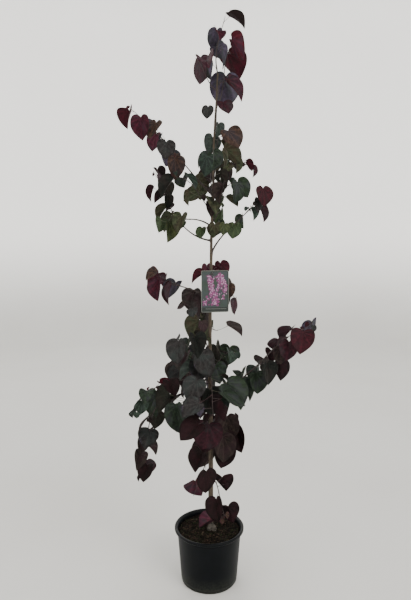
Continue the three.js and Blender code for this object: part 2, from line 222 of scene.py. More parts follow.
@dataclass(frozen=True)
class LeafFinish(Finish):
    """A living leaf's side: waxy cuticle over a net of fine veins.

    The blush is a second hue, which drifts over the blade in patches. The other fields
    say how far it covers, how much darker the darkest leaf is than the palest, how far
    a blade darkens towards its rim, and how far it pales beside its main veins.
    """

    blush: str = "#202020"
    patch: float = 34.0
    drift: float = 0.75
    unlike: float = 0.2
    border: float = 0.5
    halo: float = 0.18

    def tint(self, tree: Tree, place: Socket) -> Socket:
        """Gives the colour, by the leaf, its veins and its rim.

        Args:
            tree: The material's tree.
            place: The place on the object.

        Returns:
            The colour's socket.
        """
        inputs = {"Vector": place, "Scale": per_metre(self.patch), "Detail": 2.0}
        wide = add_node(tree, "ShaderNodeTexNoise", inputs)["Fac"]
        inputs = {"Value": wide, "From Min": 0.42, "From Max": 0.62, "To Max": self.drift}
        share = add_node(tree, "ShaderNodeMapRange", inputs)[0]
        inputs = {0: share, 6: super().tint(tree, place), 7: linear(self.blush)}
        tint = add_node(tree, "ShaderNodeMix", inputs, data_type="RGBA")[2]
        shades = (
            ("phase", self.unlike, 1.0, 0.55),
            ("rim", self.border, 1.5, 0.6),
            ("vein", self.halo, 6.0, 1.7),
        )
        for label, most, power, shade in shades:
            mark = add_node(tree, "ShaderNodeAttribute", attribute_name=label)["Fac"]
            if label == "phase":
                settings = {"noise_dimensions": "1D"}
                mark = add_node(tree, "ShaderNodeTexWhiteNoise", {"W": mark}, **settings)[0]
            raised = add_node(tree, "ShaderNodeMath", {0: mark, 1: power}, operation="POWER")
            inputs = {0: raised[0], 1: most}
            share = add_node(tree, "ShaderNodeMath", inputs, operation="MULTIPLY")[0]
            inputs = {0: share, 6: tint, 7: linear(shaded(self.colour, shade))}
            tint = add_node(tree, "ShaderNodeMix", inputs, data_type="RGBA")[2]
        return tint

    def height(self, tree: Tree, place: Socket) -> Socket:
        """Gives the height of the small fields between the finest veins.

        Args:
            tree: The material's tree.
            place: The place on the object.

        Returns:
            The height's socket.
        """
        inputs = {"Vector": place, "Scale": per_metre(self.grain)}
        net = add_node(tree, "ShaderNodeTexVoronoi", inputs, feature="DISTANCE_TO_EDGE")
        inputs = {"Value": net["Distance"], "From Min": 0.0, "From Max": 0.25}
        return add_node(tree, "ShaderNodeMapRange", inputs)[0]


@dataclass(frozen=True)
class PotFinish(Finish):
    """Recycled black plastic, with speckled dust that fades out up the wall."""

    dust: str = "#2d2f29"
    dust_height: float = 60.0
    speck: float = 7.0

    def tint(self, tree: Tree, place: Socket) -> Socket:
        """Gives the plastic's colour, with dust that thins out upwards.

        Args:
            tree: The material's tree.
            place: The place on the object.

        Returns:
            The colour's socket.
        """
        height = add_node(tree, "ShaderNodeSeparateXYZ", {0: place})["Z"]
        reach = {"From Max": self.dust_height * MM, "To Min": 1.1, "To Max": 0.0}
        fade = add_node(tree, "ShaderNodeMapRange", {"Value": height, **reach})[0]
        inputs = {"Vector": place, "Scale": per_metre(self.speck), "Detail": 8.0, "Roughness": 0.7}
        specks = add_node(tree, "ShaderNodeTexNoise", inputs)["Fac"]
        inputs = {"Value": specks, "From Min": 0.36, "From Max": 0.66}
        sharp = add_node(tree, "ShaderNodeMapRange", inputs)[0]
        share = add_node(tree, "ShaderNodeMath", {0: fade, 1: sharp}, operation="MULTIPLY")
        inputs = {0: share[0], 6: super().tint(tree, place), 7: linear(self.dust)}
        return add_node(tree, "ShaderNodeMix", inputs, data_type="RGBA")[2]


@dataclass(frozen=True)
class StudioPaint(Finish):
    """Matt white paint on a studio wall, which glows softly above the floor.

    Each band is a hue that takes over from the one below it: the height in metres where
    it comes in, the height where it is full, and the hue.
    """

    bands: tuple[tuple[float, float, str], ...] = ((0.0, 1.5, "#fffdfa"), (4.2, 6.4, "#bcbebf"))

    def finish_off(self, tree: Tree, place: Socket) -> None:
        """Lets the wall glow.

        Args:
            tree: The material's tree.
            place: The place on the object.
        """
        height = add_node(tree, "ShaderNodeSeparateXYZ", {0: place})["Z"]
        glow: Any = linear("#000000")
        for low, high, hue in self.bands:
            inputs = {"Value": height, "From Min": low, "From Max": high}
            settings = {"interpolation_type": "SMOOTHSTEP"}
            share = add_node(tree, "ShaderNodeMapRange", inputs, **settings)[0]
            inputs = {0: share, 6: glow, 7: linear(hue)}
            glow = add_node(tree, "ShaderNodeMix", inputs, data_type="RGBA")[2]
        shader = tree.nodes["Principled BSDF"]
        shader.inputs["Emission Strength"].default_value = 1.0
        tree.links.new(glow, shader.inputs["Emission Color"])


# ---- the finishes

# Young redbud bark on the trunk: thin, grey-brown, with long pale streaks
TRUNK_BARK = Finish(
    "trunk bark, weathered", "#4f4437", "#2c251d", 0.85, spot=3.0, grain=1.2, relief=0.35, stretch=5
)
# Last year's wood on the boughs: thinner bark, almost black
BOUGH_BARK = Finish(
    "bough bark, second-year", "#322826", "#1d1613", 0.75, spot=3, grain=1, relief=0.2, stretch=4
)
# This year's shoots: smooth red-brown skin that still shines a little
SHOOT_BARK = Finish(
    "shoot bark, first-year", "#2e2220", "#1c1312", 0.6, spot=2.5, grain=0.8, relief=0.12, stretch=3
)
# Corky pores that break through the bark as small pale dots
PORE_CORK = Finish("pore cork, raised", "#7a6c5c", "#5d5144", 0.9, spot=0.5, grain=0.4)
# Bud scales: dark, dry and slightly glossy
BUD_SCALE = Finish("bud scales, closed", "#3a2422", "#26150f", 0.5, spot=0.8, grain=0.4)
# Leaf stalks: wine red on young shoots, olive on old ones
RED_STALK = Finish("leaf stalk, red", "#3c2023", "#2a1518", 0.5, spot=2.0, grain=0.6)
GREEN_STALK = Finish("leaf stalk, olive", "#3d3e2d", "#2b2a1f", 0.5, spot=2.0, grain=0.6)
# The pot: satin black plastic with the fine orange peel of a worn mould
POT_PLASTIC = PotFinish(
    "black polypropylene, moulded", "#06090d", "#040709", 0.45, 1.49, 24, 1.1, 0.03, shine=0.11
)
# Compost: wet peat, almost black, with brown fibres
PEAT = Finish(
    "peat compost, moist", "#0f0d09", "#060504", 1.0, spot=9, grain=2.2, relief=2.0, shine=0.1
)
# What lies loose on it: paler dry peat, dull moss, brown flakes of bark, bleached slivers
CRUMB = Finish("peat crumbs, loose", "#27201a", "#100d0a", 1.0, spot=6, relief=0.5, shine=0.1)
MOSS = Finish("moss, cushions", "#262a1c", "#13160d", 1.0, spot=5, relief=0.5, shine=0.1)
CHIP = Finish("bark chips, composted", "#382b23", "#1b130e", 0.95, spot=5, relief=0.4, shine=0.2)
PALE_CHIP = Finish("wood chips, dry", "#564c3c", "#2d271e", 0.95, spot=4, relief=0.3, shine=0.2)
# A leaf of last year, bleached and dry, lying on the compost
DRY_LEAF = Finish("leaf, dried", "#625d56", "#1f1b17", 0.85, spot=11, grain=3.0, relief=0.8)
# The label: matt-laminated board in flat inks, with an even satin shine under the film
CARD_BOARD = Finish("label board, laminated", "#6c716b", "#5e635d", 0.4, spot=30, relief=0.01)
CARD_GROUND = Finish("label ink, slate to green", "#2d3439", "#213127", 0.4, spot=30, relief=0.01)
CARD_BORDER = Finish("label ink, dark green", "#161f1c", "#111815", 0.4, spot=30, relief=0.01)
PETAL_INK = Finish("label ink, magenta", "#7d3265", "#4d2143", 0.4, spot=5, relief=0.01)
PALE_INK = Finish("label ink, rose", "#a5829b", "#7c5577", 0.4, spot=5, relief=0.01)
TWIG_INK = Finish("label ink, dark plum", "#33232f", "#241722", 0.4, spot=5, relief=0.01)
# The label's tie: black nylon, extruded and locked
TIE_NYLON = Finish("black nylon, moulded", "#1b1b1c", "#141415", 0.4, ior=1.53, spot=8, grain=0.5)


def leaf_faces(name: str, upper: str, under: str, blush: str) -> tuple[Finish, ...]:
    """Gives the three finishes of a leaf: its upper side, its underside and its veins.

    Args:
        name: The leaf's colour in words.
        upper: The upper side's colour, as sRGB hex.
        under: The underside's colour.
        blush: The hue that drifts over both sides in patches.

    Returns:
        The finishes, in the order of the sides' numbers.
    """
    # wax dulls both sides, and the veins are paler. The fields between the finest veins
    # are drawn wider than they grow, so that they show
    rib = shaded(upper, 1.3)
    waxy = {"ior": 1.36, "spot": 8.0, "grain": 2.6, "shine": 0.2}
    over = {"relief": 0.12, "blush": blush, **waxy}
    below = {"relief": 0.2, "blush": shaded(blush, 1.25), **waxy}
    veined = {**waxy, "spot": 6.0, "grain": 0.8, "relief": 0.05}
    return (
        LeafFinish(f"leaf cuticle, {name}", upper, shaded(upper, 0.5), 0.72, **over),
        LeafFinish(f"leaf underside, {name}", under, shaded(under, 0.72), 0.8, **below),
        Finish(f"leaf veins, {name}", rib, shaded(rib, 0.85), 0.5, **veined),
    )


class Tone(Enum):
    """The colours that this plant's leaves have, from the youngest to the oldest."""

    WINE = leaf_faces("wine red", "#39111e", "#4d1924", "#33222c")
    MAROON = leaf_faces("maroon", "#35111a", "#3f1520", "#251619")
    BURGUNDY = leaf_faces("burgundy", "#2e131b", "#3c272e", "#2c2a2c")
    PLUM = leaf_faces("plum purple", "#3e2e27", "#502736", "#28262b")
    # the slate leaves are purple; the grey-blue of both their sides is a painted sheen, the sky's
    # reflection painted into their colour
    SLATE = leaf_faces("slate purple", "#2b2929", "#463e4e", "#2b3130")
    DEEP = leaf_faces("deep red-brown", "#160a0a", "#1a1113", "#240f14")
    BRONZE = leaf_faces("bronze", "#2e2623", "#3f3a39", "#2c1c22")
    OLIVE = leaf_faces("olive", "#393f2d", "#3e4233", "#392f27")
    LIME = leaf_faces("fresh green", "#3e442a", "#36432d", "#303a2b")
    GREEN = leaf_faces("slate green", "#252f24", "#2e392b", "#2d2d32")
    JADE = leaf_faces("blue-green", "#313e35", "#3c443f", "#2c3030")
    FOREST = leaf_faces("dark green", "#181b18", "#262721", "#231d1b")


# ---- mesh helpers


class Side(IntEnum):
    """The sides of a leaf, as its faces' attribute numbers them."""

    UPPER = 0
    UNDERSIDE = 1
    VEIN = 2


class Age(IntEnum):
    """The kinds of blade, in the order of their flat shapes."""

    GROWN = 0
    YOUNG = 1


class Way(Enum):
    """How small shapes are set out, with the name of the tree that does it."""

    OVER = "deal out over a surface"
    ON = "set on points"
    UNFOLD = "unfold leaves"


def unit(vector: Array) -> Array:
    """Gives a vector, or each row of vectors, at a length of one."""
    return vector / np.maximum(np.linalg.norm(vector, axis=-1, keepdims=True), 1e-12)


def turned(vector: Array, axis: Array, angle: float) -> Array:
    """Turns a vector about an axis of length one, by an angle in radians."""
    cos, sin = math.cos(angle), math.sin(angle)
    return vector * cos + np.cross(axis, vector) * sin + axis * (axis @ vector) * (1 - cos)


def tilted(level: Array, degrees: float) -> Array:
    """Tilts a level direction up by so many degrees."""
    angle = math.radians(degrees)
    return level * math.cos(angle) + UP * math.sin(angle)


def circle(sides: int) -> Array:
    """Gives the corners of a level round of radius one, from +X on."""
    angles = 2 * math.pi * np.arange(sides) / sides
    return np.stack([np.cos(angles), np.sin(angles), 0 * angles], axis=-1)


def ripple(points: Array, wavelength: float, seed: int) -> Array:
    """Gives a smooth uneven height between about -1 and 1 at each point.

    Args:
        points: The places, in any number of dimensions.
        wavelength: The typical distance from one rise to the next.
        seed: Which pattern to use.

    Returns:
        One height for each point.
    """
    draws = np.random.default_rng(seed)
    waves = 7
    directions = unit(draws.normal(size=(waves, points.shape[-1])))
    lengths = wavelength * draws.uniform(0.7, 1.6, waves)
    phases = draws.uniform(0, 2 * math.pi, waves)
    heights = np.sin(points @ directions.T * (2 * math.pi / lengths) + phases)
    return heights.sum(axis=-1) / math.sqrt(waves) / 1.3


def smooth_line(points: Sequence[Sequence[float]], count: int) -> Array:
    """Draws a smooth line through a few points.

    Args:
        points: The points that the line passes.
        count: How many steps lie between one point and the next.

    Returns:
        The points of the line.
    """
    known = np.asarray(points, float)
    ends = np.concatenate([2 * known[:1] - known[1:2], known, 2 * known[-1:] - known[-2:-1]])
    shares = np.linspace(0, 1, count, endpoint=False)[:, None]
    spans = []
    for i in range(1, len(ends) - 2):
        before, first, second, after = ends[i - 1 : i + 3]
        bend = before - 2.5 * first + 2 * second - after / 2
        twist = 1.5 * (first - second) + (after - before) / 2
        spans.append(first + shares * (second - before) / 2 + shares**2 * bend + shares**3 * twist)
    return np.concatenate([*spans, known[-1:]])


def shell(rings: Array, first: Array, last: Array) -> Shape:
    """Closes rings of corners with a point at each end.

    Args:
        rings: The corners, by the ring and its side.
        first: The point inside the first ring.
        last: The point inside the last ring.

    Returns:
        The corners, and the faces in blocks of four-sided and three-sided ones.
    """
    count, sides = rings.shape[:2]
    i = np.arange(sides)
    j = (i + 1) % sides
    start = sides * np.arange(count - 1)[:, None]
    walls = np.stack([start + i, start + j, start + sides + j, start + sides + i], axis=-1)
    top = sides * (count - 1)
    low_cap = np.stack([np.full(sides, count * sides), j, i], axis=-1)
    high_cap = np.stack([np.full(sides, count * sides + 1), top + i, top + j], axis=-1)
    points = np.concatenate([rings.reshape(-1, 3), [first, last]])
    return points, [walls.reshape(-1, 4), np.concatenate([low_cap, high_cap])]


def tube(centres: Array, radii: Array, sides: int) -> Shape:
    """Makes a closed tube along a line.

    Args:
        centres: The line's points.
        radii: The radius at each point, or at each corner of each ring.
        sides: How many corners a ring has.

    Returns:
        The corners and the faces.
    """
    along = unit(np.gradient(centres, axis=0))
    side = np.cross(along[0], UP)
    if np.linalg.norm(side) < 1e-3:
        side = np.array([1.0, 0.0, 0.0])
    rows = []
    for direction in along:
        side = unit(side - direction * (side @ direction))
        rows.append(side)
    across = np.array(rows)[:, None]
    third = np.cross(along[:, None], across)
    cos, sin, _ = circle(sides).T[:, None, :, None]
    radii = radii if radii.ndim == 2 else radii[:, None]
    spokes = radii[:, :, None] * (cos * across + sin * third)
    return shell(centres[:, None] + spokes, centres[0], centres[-1])


def plain(faces: Faces) -> list[list[int]]:
    """Gives blocks of faces as one list."""
    return [face for block in faces for face in block.tolist()]


@dataclass
class Stock:
    """Corners and faces that are gathered for one piece, in millimetres."""

    points: list[Array] = field(default_factory=list)
    faces: Faces = field(default_factory=list)
    slots: list[Array] = field(default_factory=list)
    count: int = 0

    def add(self, points: Array, faces: Faces, slot: int | Sequence[int] = 0) -> None:
        """Adds a closed shape.

        Args:
            points: Its corners.
            faces: Its faces, in blocks with the same number of corners.
            slot: The material slot that they take, or one for each block.
        """
        for block, taken in zip(faces, np.broadcast_to(slot, len(faces))):
            self.faces.append(block + self.count)
            self.slots.append(np.full(len(block), taken))
        self.points.append(points)
        self.count += len(points)

    def mesh(self, name: str, scale: float = MM) -> Mesh:
        """Makes the mesh, with smooth faces.

        Args:
            name: Its name.
            scale: What one unit of the corners is in metres.

        Returns:
            The mesh.
        """
        mesh = bpy.data.meshes.new(name)
        faces = plain(self.faces)
        mesh.from_pydata((np.concatenate(self.points) * scale).tolist(), [], faces)
        mesh.polygons.foreach_set("material_index", np.concatenate(self.slots).astype(np.int32))
        mesh.polygons.foreach_set("use_smooth", np.ones(len(faces), bool))
        return mesh

    def piece(self, name: str, *finishes: Finish) -> Object:
        """Makes the piece's object.

        Args:
            name: Its name.
            finishes: What its material slots hold.

        Returns:
            The object, shown in the scene.
        """
        mesh = self.mesh(name)
        for finish in finishes:
            mesh.materials.append(finish.material())
        mesh.update()
        return shown(bpy.data.objects.new(name, mesh))


def marked(mesh: Mesh, domain: str = "POINT", **marks: Any) -> None:
    """Writes attributes onto a mesh.

    Args:
        mesh: The mesh.
        domain: Whether the points or the faces carry them.
        marks: For each name, a number or a row of three for each point or face.
    """
    for label, values in marks.items():
        values = np.asarray(values)
        is_whole = values.dtype.kind == "i"
        kind = "FLOAT_VECTOR" if values.ndim == 2 else "INT" if is_whole else "FLOAT"
        data = mesh.attributes.new(label, kind, domain).data
        numbers = values.astype(np.int32 if is_whole else np.float32).ravel()
        data.foreach_set("vector" if values.ndim == 2 else "value", numbers)


def marked_points(name: str, places: Any, **marks: Any) -> Object:
    """Makes an object of loose points that carry attributes.

    Args:
        name: The object's name.
        places: The points, in metres.
        marks: The attributes' values, by name.

    Returns:
        The object, shown in the scene.
    """
    mesh = bpy.data.meshes.new(name)
    mesh.from_pydata(np.asarray(places).tolist(), [], [])
    marked(mesh, **marks)
    return shown(bpy.data.objects.new(name, mesh))


def corners(mesh: Mesh) -> Array:
    """Gives the corners of a mesh, in millimetres."""
    return np.array([corner.co[:] for corner in mesh.vertices]) / MM


def formed(name: str, points: Array, faces: Faces) -> Object:
    """Makes an object of some corners and faces, which isn't in the scene yet.

    Args:
        name: Its name.
        points: Its corners.
        faces: Its faces, in blocks.

    Returns:
        The object, with flat faces.
    """
    mesh = bpy.data.meshes.new(name)
    mesh.from_pydata((points * MM).tolist(), [], plain(faces))
    return bpy.data.objects.new(name, mesh)


def shown(piece: Object) -> Object:
    """Links an object to the scene."""
    bpy.context.scene.collection.objects.link(piece)
    return piece


def settled(piece: Object) -> Object:
    """Turns what a piece's modifiers make into its plain mesh.

    Args:
        piece: The piece.

    Returns:
        The same piece, without modifiers.
    """
    bpy.context.view_layer.update()
    evaluated = piece.evaluated_get(bpy.context.evaluated_depsgraph_get())
    mesh = bpy.data.meshes.new_from_object(evaluated)
    piece.modifiers.clear()
    piece.data = mesh
    mesh.name = piece.name
    return piece


def declare(piece: Object, slot: str, *nodes: str) -> None:
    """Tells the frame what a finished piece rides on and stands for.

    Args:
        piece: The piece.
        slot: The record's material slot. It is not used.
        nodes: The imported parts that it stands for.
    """
    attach(piece, BODY)
    if nodes:
        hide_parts(*nodes)
    piece.data.calc_loop_triangles()
    log.info("%s: %d triangles", piece.name, len(piece.data.loop_triangles))


# ---- small shapes, dealt out


class Scatter:
    """Geometry Nodes that deal small shapes out over a surface, or set them on points."""

    waves_round = 4.0

    def __init__(self) -> None:
        """Builds the three trees."""
        self.trees = {Way.OVER: self.surface_tree(), Way.ON: self.point_tree()}
        self.trees[Way.UNFOLD] = self.leaf_tree()

    @staticmethod
    def begun(way: Way, **inputs: str) -> tuple[Tree, Any]:
        """Starts a tree.

        Args:
            way: What the tree does.
            inputs: The kind of each input after the geometry and the shapes, by its name.

        Returns:
            The tree, and the outputs of its input node.
        """
        tree = bpy.data.node_groups.new(way.value, "GeometryNodeTree")
        for label, kind in {"Geometry": "Geometry", "Shapes": "Collection", **inputs}.items():
            tree.interface.new_socket(label, in_out="INPUT", socket_type=f"NodeSocket{kind}")
        tree.interface.new_socket("Geometry", in_out="OUTPUT", socket_type="NodeSocketGeometry")
        return tree, add_node(tree, "NodeGroupInput")

    @staticmethod
    def copied(tree: Tree, given: Any, inputs: dict[str, Any]) -> Socket:
        """Sets a copy of a shape on each point, and makes the copies real.

        Args:
            tree: The tree.
            given: The outputs of its input node.
            inputs: The points, and how a copy is turned, sized or chosen.

        Returns:
            The copies.
        """
        kit = {"Collection": given["Shapes"], "Separate Children": True, "Reset Children": True}
        shapes = add_node(tree, "GeometryNodeCollectionInfo", kit)[0]
        inputs = {"Instance": shapes, "Pick Instance": True, **inputs}
        copies = add_node(tree, "GeometryNodeInstanceOnPoints", inputs)[0]
        return add_node(tree, "GeometryNodeRealizeInstances", {0: copies})[0]

    @staticmethod
    def dressed(tree: Tree, given: Any, shapes: Socket, labels: Sequence[str]) -> Tree:
        """Ends a tree: each side of the shapes gets its material.

        Args:
            tree: The tree.
            given: The outputs of its input node.
            shapes: The shapes, whose faces may carry the number of their side.
            labels: The materials' inputs, in the order of the sides' numbers.

        Returns:
            The same tree.
        """
        kind = {"data_type": "INT"}
        side = add_node(tree, "GeometryNodeInputNamedAttribute", {"Name": "side"}, **kind)[0]
        for number, label in enumerate(labels):
            inputs = {2: side, 3: number}
            chosen = add_node(tree, "FunctionNodeCompare", inputs, operation="EQUAL", **kind)[0]
            inputs = {"Geometry": shapes, "Selection": chosen, "Material": given[label]}
            shapes = add_node(tree, "GeometryNodeSetMaterial", inputs)[0]
        add_node(tree, "NodeGroupOutput", {0: shapes})
        return tree

    def surface_tree(self) -> Tree:
        """Deals shapes out over a surface, each turned, tilted and sized by a draw.

        Returns:
            The tree.
        """
        kinds = dict.fromkeys(("Density", "Smallest", "Largest", "Tilt"), "Float")
        kinds.update(Seed="Int", Material="Material")
        tree, given = self.begun(Way.OVER, **kinds)
        seed, tilt = {"Seed": given["Seed"]}, given["Tilt"]
        inputs = {"Mesh": given["Geometry"], "Density": given["Density"], **seed}
        spread = add_node(tree, "GeometryNodeDistributePointsOnFaces", inputs)
        inputs = {2: given["Smallest"], 3: given["Largest"], **seed}
        size = add_node(tree, "FunctionNodeRandomValue", inputs, data_type="FLOAT")[1]
        down = add_node(tree, "ShaderNodeMath", {0: tilt, 1: -1.0}, operation="MULTIPLY")[0]
        low = add_node(tree, "ShaderNodeCombineXYZ", {0: down, 1: down, 2: -math.pi})[0]
        high = add_node(tree, "ShaderNodeCombineXYZ", {0: tilt, 1: tilt, 2: math.pi})[0]
        inputs = {0: low, 1: high, **seed}
        turns = add_node(tree, "FunctionNodeRandomValue", inputs, data_type="FLOAT_VECTOR")[0]
        turn = add_node(tree, "FunctionNodeEulerToRotation", {0: turns})[0]
        inputs = {0: spread["Rotation"], 1: turn}
        pose = add_node(tree, "FunctionNodeRotateRotation", inputs, rotation_space="LOCAL")[0]
        inputs = {"Points": spread["Points"], "Rotation": pose, "Scale": size}
        return self.dressed(tree, given, self.copied(tree, given, inputs), ["Material"])

    def point_tree(self) -> Tree:
        """Sets a shape on each point, by the point's own turn and size.

        Returns:
            The tree.
        """
        tree, given = self.begun(Way.ON, Material="Material")
        kind = "GeometryNodeInputNamedAttribute"
        turns = add_node(tree, kind, {"Name": "turn"}, data_type="FLOAT_VECTOR")[0]
        size = add_node(tree, kind, {"Name": "size"}, data_type="FLOAT")[0]
        turn = add_node(tree, "FunctionNodeEulerToRotation", {0: turns})[0]
        inputs = {"Points": given["Geometry"], "Rotation": turn, "Scale": size}
        return self.dressed(tree, given, self.copied(tree, given, inputs), ["Material"])

    def leaf_tree(self) -> Tree:
        """Sets a flat blade on each point, and folds, curls and waves it as that leaf is.

        Returns:
            The tree.
        """
        sides = ("Upper", "Underside", "Veins")
        tree, given = self.begun(Way.UNFOLD, **dict.fromkeys(sides, "Material"))
        labels = "valley relief angle rim length fold curl phase wave sway joint turn kind"
        kinds = dict.fromkeys(labels.split(), "FLOAT")
        kinds.update(joint="FLOAT_VECTOR", turn="FLOAT_VECTOR", kind="INT")
        node = "GeometryNodeInputNamedAttribute"
        known = {
            label: add_node(tree, node, {"Name": label}, data_type=kind)[0]
            for label, kind in kinds.items()
        }
        inputs = {"Points": given["Geometry"], "Instance Index": known["kind"]}
        blades = self.copied(tree, given, inputs)
        inputs = {0: add_node(tree, "GeometryNodeInputPosition")[0], 1: known["joint"]}
        flat = add_node(tree, "ShaderNodeVectorMath", inputs, operation="SUBTRACT")[0]
        known["x"], known["y"], known["z"] = add_node(tree, "ShaderNodeSeparateXYZ", {0: flat})
        # each step has a name, an operation, and the names or numbers that it works on
        steps = (
            ("squared", "MULTIPLY", "y", "y"),
            ("steep", "SINE", "fold"),
            ("folded", "MULTIPLY", "valley", "steep"),
            ("curled", "MULTIPLY", "squared", "curl"),
            ("turns", "MULTIPLY_ADD", "angle", self.waves_round, "phase"),
            ("swing", "SINE", "turns"),
            ("depth", "MULTIPLY", "rim", "wave"),
            ("waved", "MULTIPLY", "swing", "depth"),
            ("raised", "ADD", "folded", "waved"),
            ("bent", "SUBTRACT", "raised", "curled"),
            ("creased", "ADD", "bent", "relief"),
            ("lift", "ADD", "creased", "z"),
            ("swayed", "MULTIPLY", "squared", "sway"),
            ("width", "COSINE", "fold"),
            ("aside", "MULTIPLY_ADD", "x", "width", "swayed"),
        )
        for name, operation, *terms in steps:
            inputs = {i: known.get(term, term) for i, term in enumerate(terms)}
            known[name] = add_node(tree, "ShaderNodeMath", inputs, operation=operation)[0]
        inputs = {0: known["aside"], 1: known["y"], 2: known["lift"]}
        shape = add_node(tree, "ShaderNodeCombineXYZ", inputs)[0]
        inputs = {0: shape, "Scale": known["length"]}
        sized = add_node(tree, "ShaderNodeVectorMath", inputs, operation="SCALE")[0]
        turn = add_node(tree, "FunctionNodeEulerToRotation", {0: known["turn"]})[0]
        posed = add_node(tree, "FunctionNodeRotateVector", {0: sized, 1: turn})[0]
        inputs = {0: posed, 1: known["joint"]}
        placed = add_node(tree, "ShaderNodeVectorMath", inputs, operation="ADD")[0]
        inputs = {"Geometry": blades, "Position": placed}
        leaves = add_node(tree, "GeometryNodeSetPosition", inputs)[0]
        return self.dressed(tree, given, leaves, sides)

    def run(self, way: Way, host: Object, shapes: Sequence[Object], **values: Any) -> Object:
        """Runs a tree on a host and keeps the plain mesh that it makes.

        Args:
            way: Which tree is run.
            host: The object whose surface or points are used. It becomes the piece.
            shapes: The small shapes that are set, in the order of their names.
            values: The tree's other inputs, by name. A finish stands for its material.

        Returns:
            The host, which now holds the realized shapes.
        """
        kit = bpy.data.collections.new(f"{host.name} shapes")
        bpy.context.scene.collection.children.link(kit)
        for shape in shapes:
            kit.objects.link(shape)
        modifier = host.modifiers.new("shapes", "NODES")
        modifier.node_group = self.trees[way]
        given = {"Shapes": kit, **values}
        for socket in modifier.node_group.interface.items_tree:
            if socket.name in given:
                value = given[socket.name]
                is_finish = isinstance(value, Finish)
                modifier[socket.identifier] = value.material() if is_finish else value
        settled(host)
        for shape in shapes:
            kit.objects.unlink(shape)
        bpy.data.collections.remove(kit)
        return host

    def unfold(
        self,
        name: str,
        leaves: Sequence[tuple[Leaf, Age]],
        blades: Sequence[Object],
        finishes: Sequence[Finish],
    ) -> Object:
        """Makes one piece of some leaves' blades.

        Args:
            name: The piece's name.
            leaves: The leaves, each with its kind of blade.
            blades: The flat blades.
            finishes: The finishes of the upper side, the underside and the veins.

        Returns:
            The piece.
        """
        grown = [leaf for leaf, _ in leaves]
        joints = np.array([leaf.joint for leaf in grown]) * MM
        axes = [Matrix((leaf.across, leaf.midrib, leaf.normal)).transposed() for leaf in grown]
        phases = np.array([leaf.length + 40 * leaf.curl for leaf in grown])
        host = marked_points(
            name,
            joints,
            joint=joints,
            turn=[tuple(matrix.to_euler()) for matrix in axes],
            length=[leaf.length * MM for leaf in grown],
            fold=[leaf.fold for leaf in grown],
            curl=[leaf.curl for leaf in grown],
            phase=phases,
            wave=0.016 + 0.03 * (phases * 7.3 % 1.0),
            sway=0.12 * (phases * 3.1 % 1.0 - 0.5),
            kind=np.array([kind for _, kind in leaves]),
        )
        sides = dict(zip(("Upper", "Underside", "Veins"), finishes))
        return self.run(Way.UNFOLD, host, blades, **sides)


def lump(name: str, size: Sequence[float], roughness: float, seed: int) -> Object:
    """Makes a small uneven lump of twenty faces, which isn't in the scene yet.

    Args:
        name: Its name.
        size: Its half sizes, for a scale of one.
        roughness: How uneven it is, as a share of its size.
        seed: Which lump it is.

    Returns:
        The object.
    """
    draws = np.random.default_rng(seed)
    form = bmesh.new()
    bmesh.ops.create_icosphere(form, subdivisions=1, radius=1)
    for vert in form.verts:
        vert.co *= 1 + float(draws.uniform(-roughness, roughness))
        vert.co = Vector([c * s * MM for c, s in zip(vert.co, size)])
    mesh = bpy.data.meshes.new(name)
    form.to_mesh(mesh)
    form.free()
    return bpy.data.objects.new(name, mesh)


# ---- the growth rule


@dataclass(frozen=True)
class Sizes:
    """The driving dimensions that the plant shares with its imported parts."""

    soil_top: float = 184.0
    trunk_top: float = 1775.0
    trunk_base_radius: float = 9.2
    trunk_top_radius: float = 2.3
    flare_radius: float = 4.2
    flare_height: float = 11.0
    bough_radius: float = 3.2
    stem_radius: float = 1.9
    tip_radius: float = 0.8
    collar: float = 3.0
    pull: float = 0.36


SIZES = Sizes()

# the trunk's sway: its centre in X and Y at a few heights
SWAY = ((5, 0, 150), (6, 2, 450), (2, 3, 880), (6, 0, 1160), (14, -2, 1500), (27, 0, 1800))


@dataclass(frozen=True)
class Shoot:
    """One shoot: its line, its leaves and their colours.

    It leaves the trunk at the height of its foot. Its rise is its slope there and its
    lift the slope at its tip, in degrees. Bare is the share that is a bare bough, and
    size is its leaves' length. Its tones are its spray's colours, older leaves first.
    """

    name: str
    foot: float
    tip: tuple[float, float, float]
    rise: float
    lift: float
    bare: float
    leaves: int
    size: float
    seed: int
    tones: str

    def tone(self, number: int) -> Tone:
        """Gives the colour of a leaf, by its number from the foot."""
        dealt = self.tones.upper().split()
        return Tone[dealt[number * len(dealt) // self.leaves]]

    @property
    def is_leader(self) -> bool:
        """Tells whether it carries the trunk on."""
        return self.foot == SIZES.trunk_top

    @cached_property
    def line(self) -> Arch:
        """Gives its line."""
        return Arch(self)

    @property
    def leafy_from(self) -> float:
        """Gives the share of its line at which it is clear of the trunk.

        Returns:
            The share.
        """
        if self.bare > 0 or self.is_leader:
            return self.bare
        level = trunk_radius(self.foot) + SIZES.stem_radius + SIZES.collar
        return level / math.cos(math.radians(self.rise)) / self.line.span


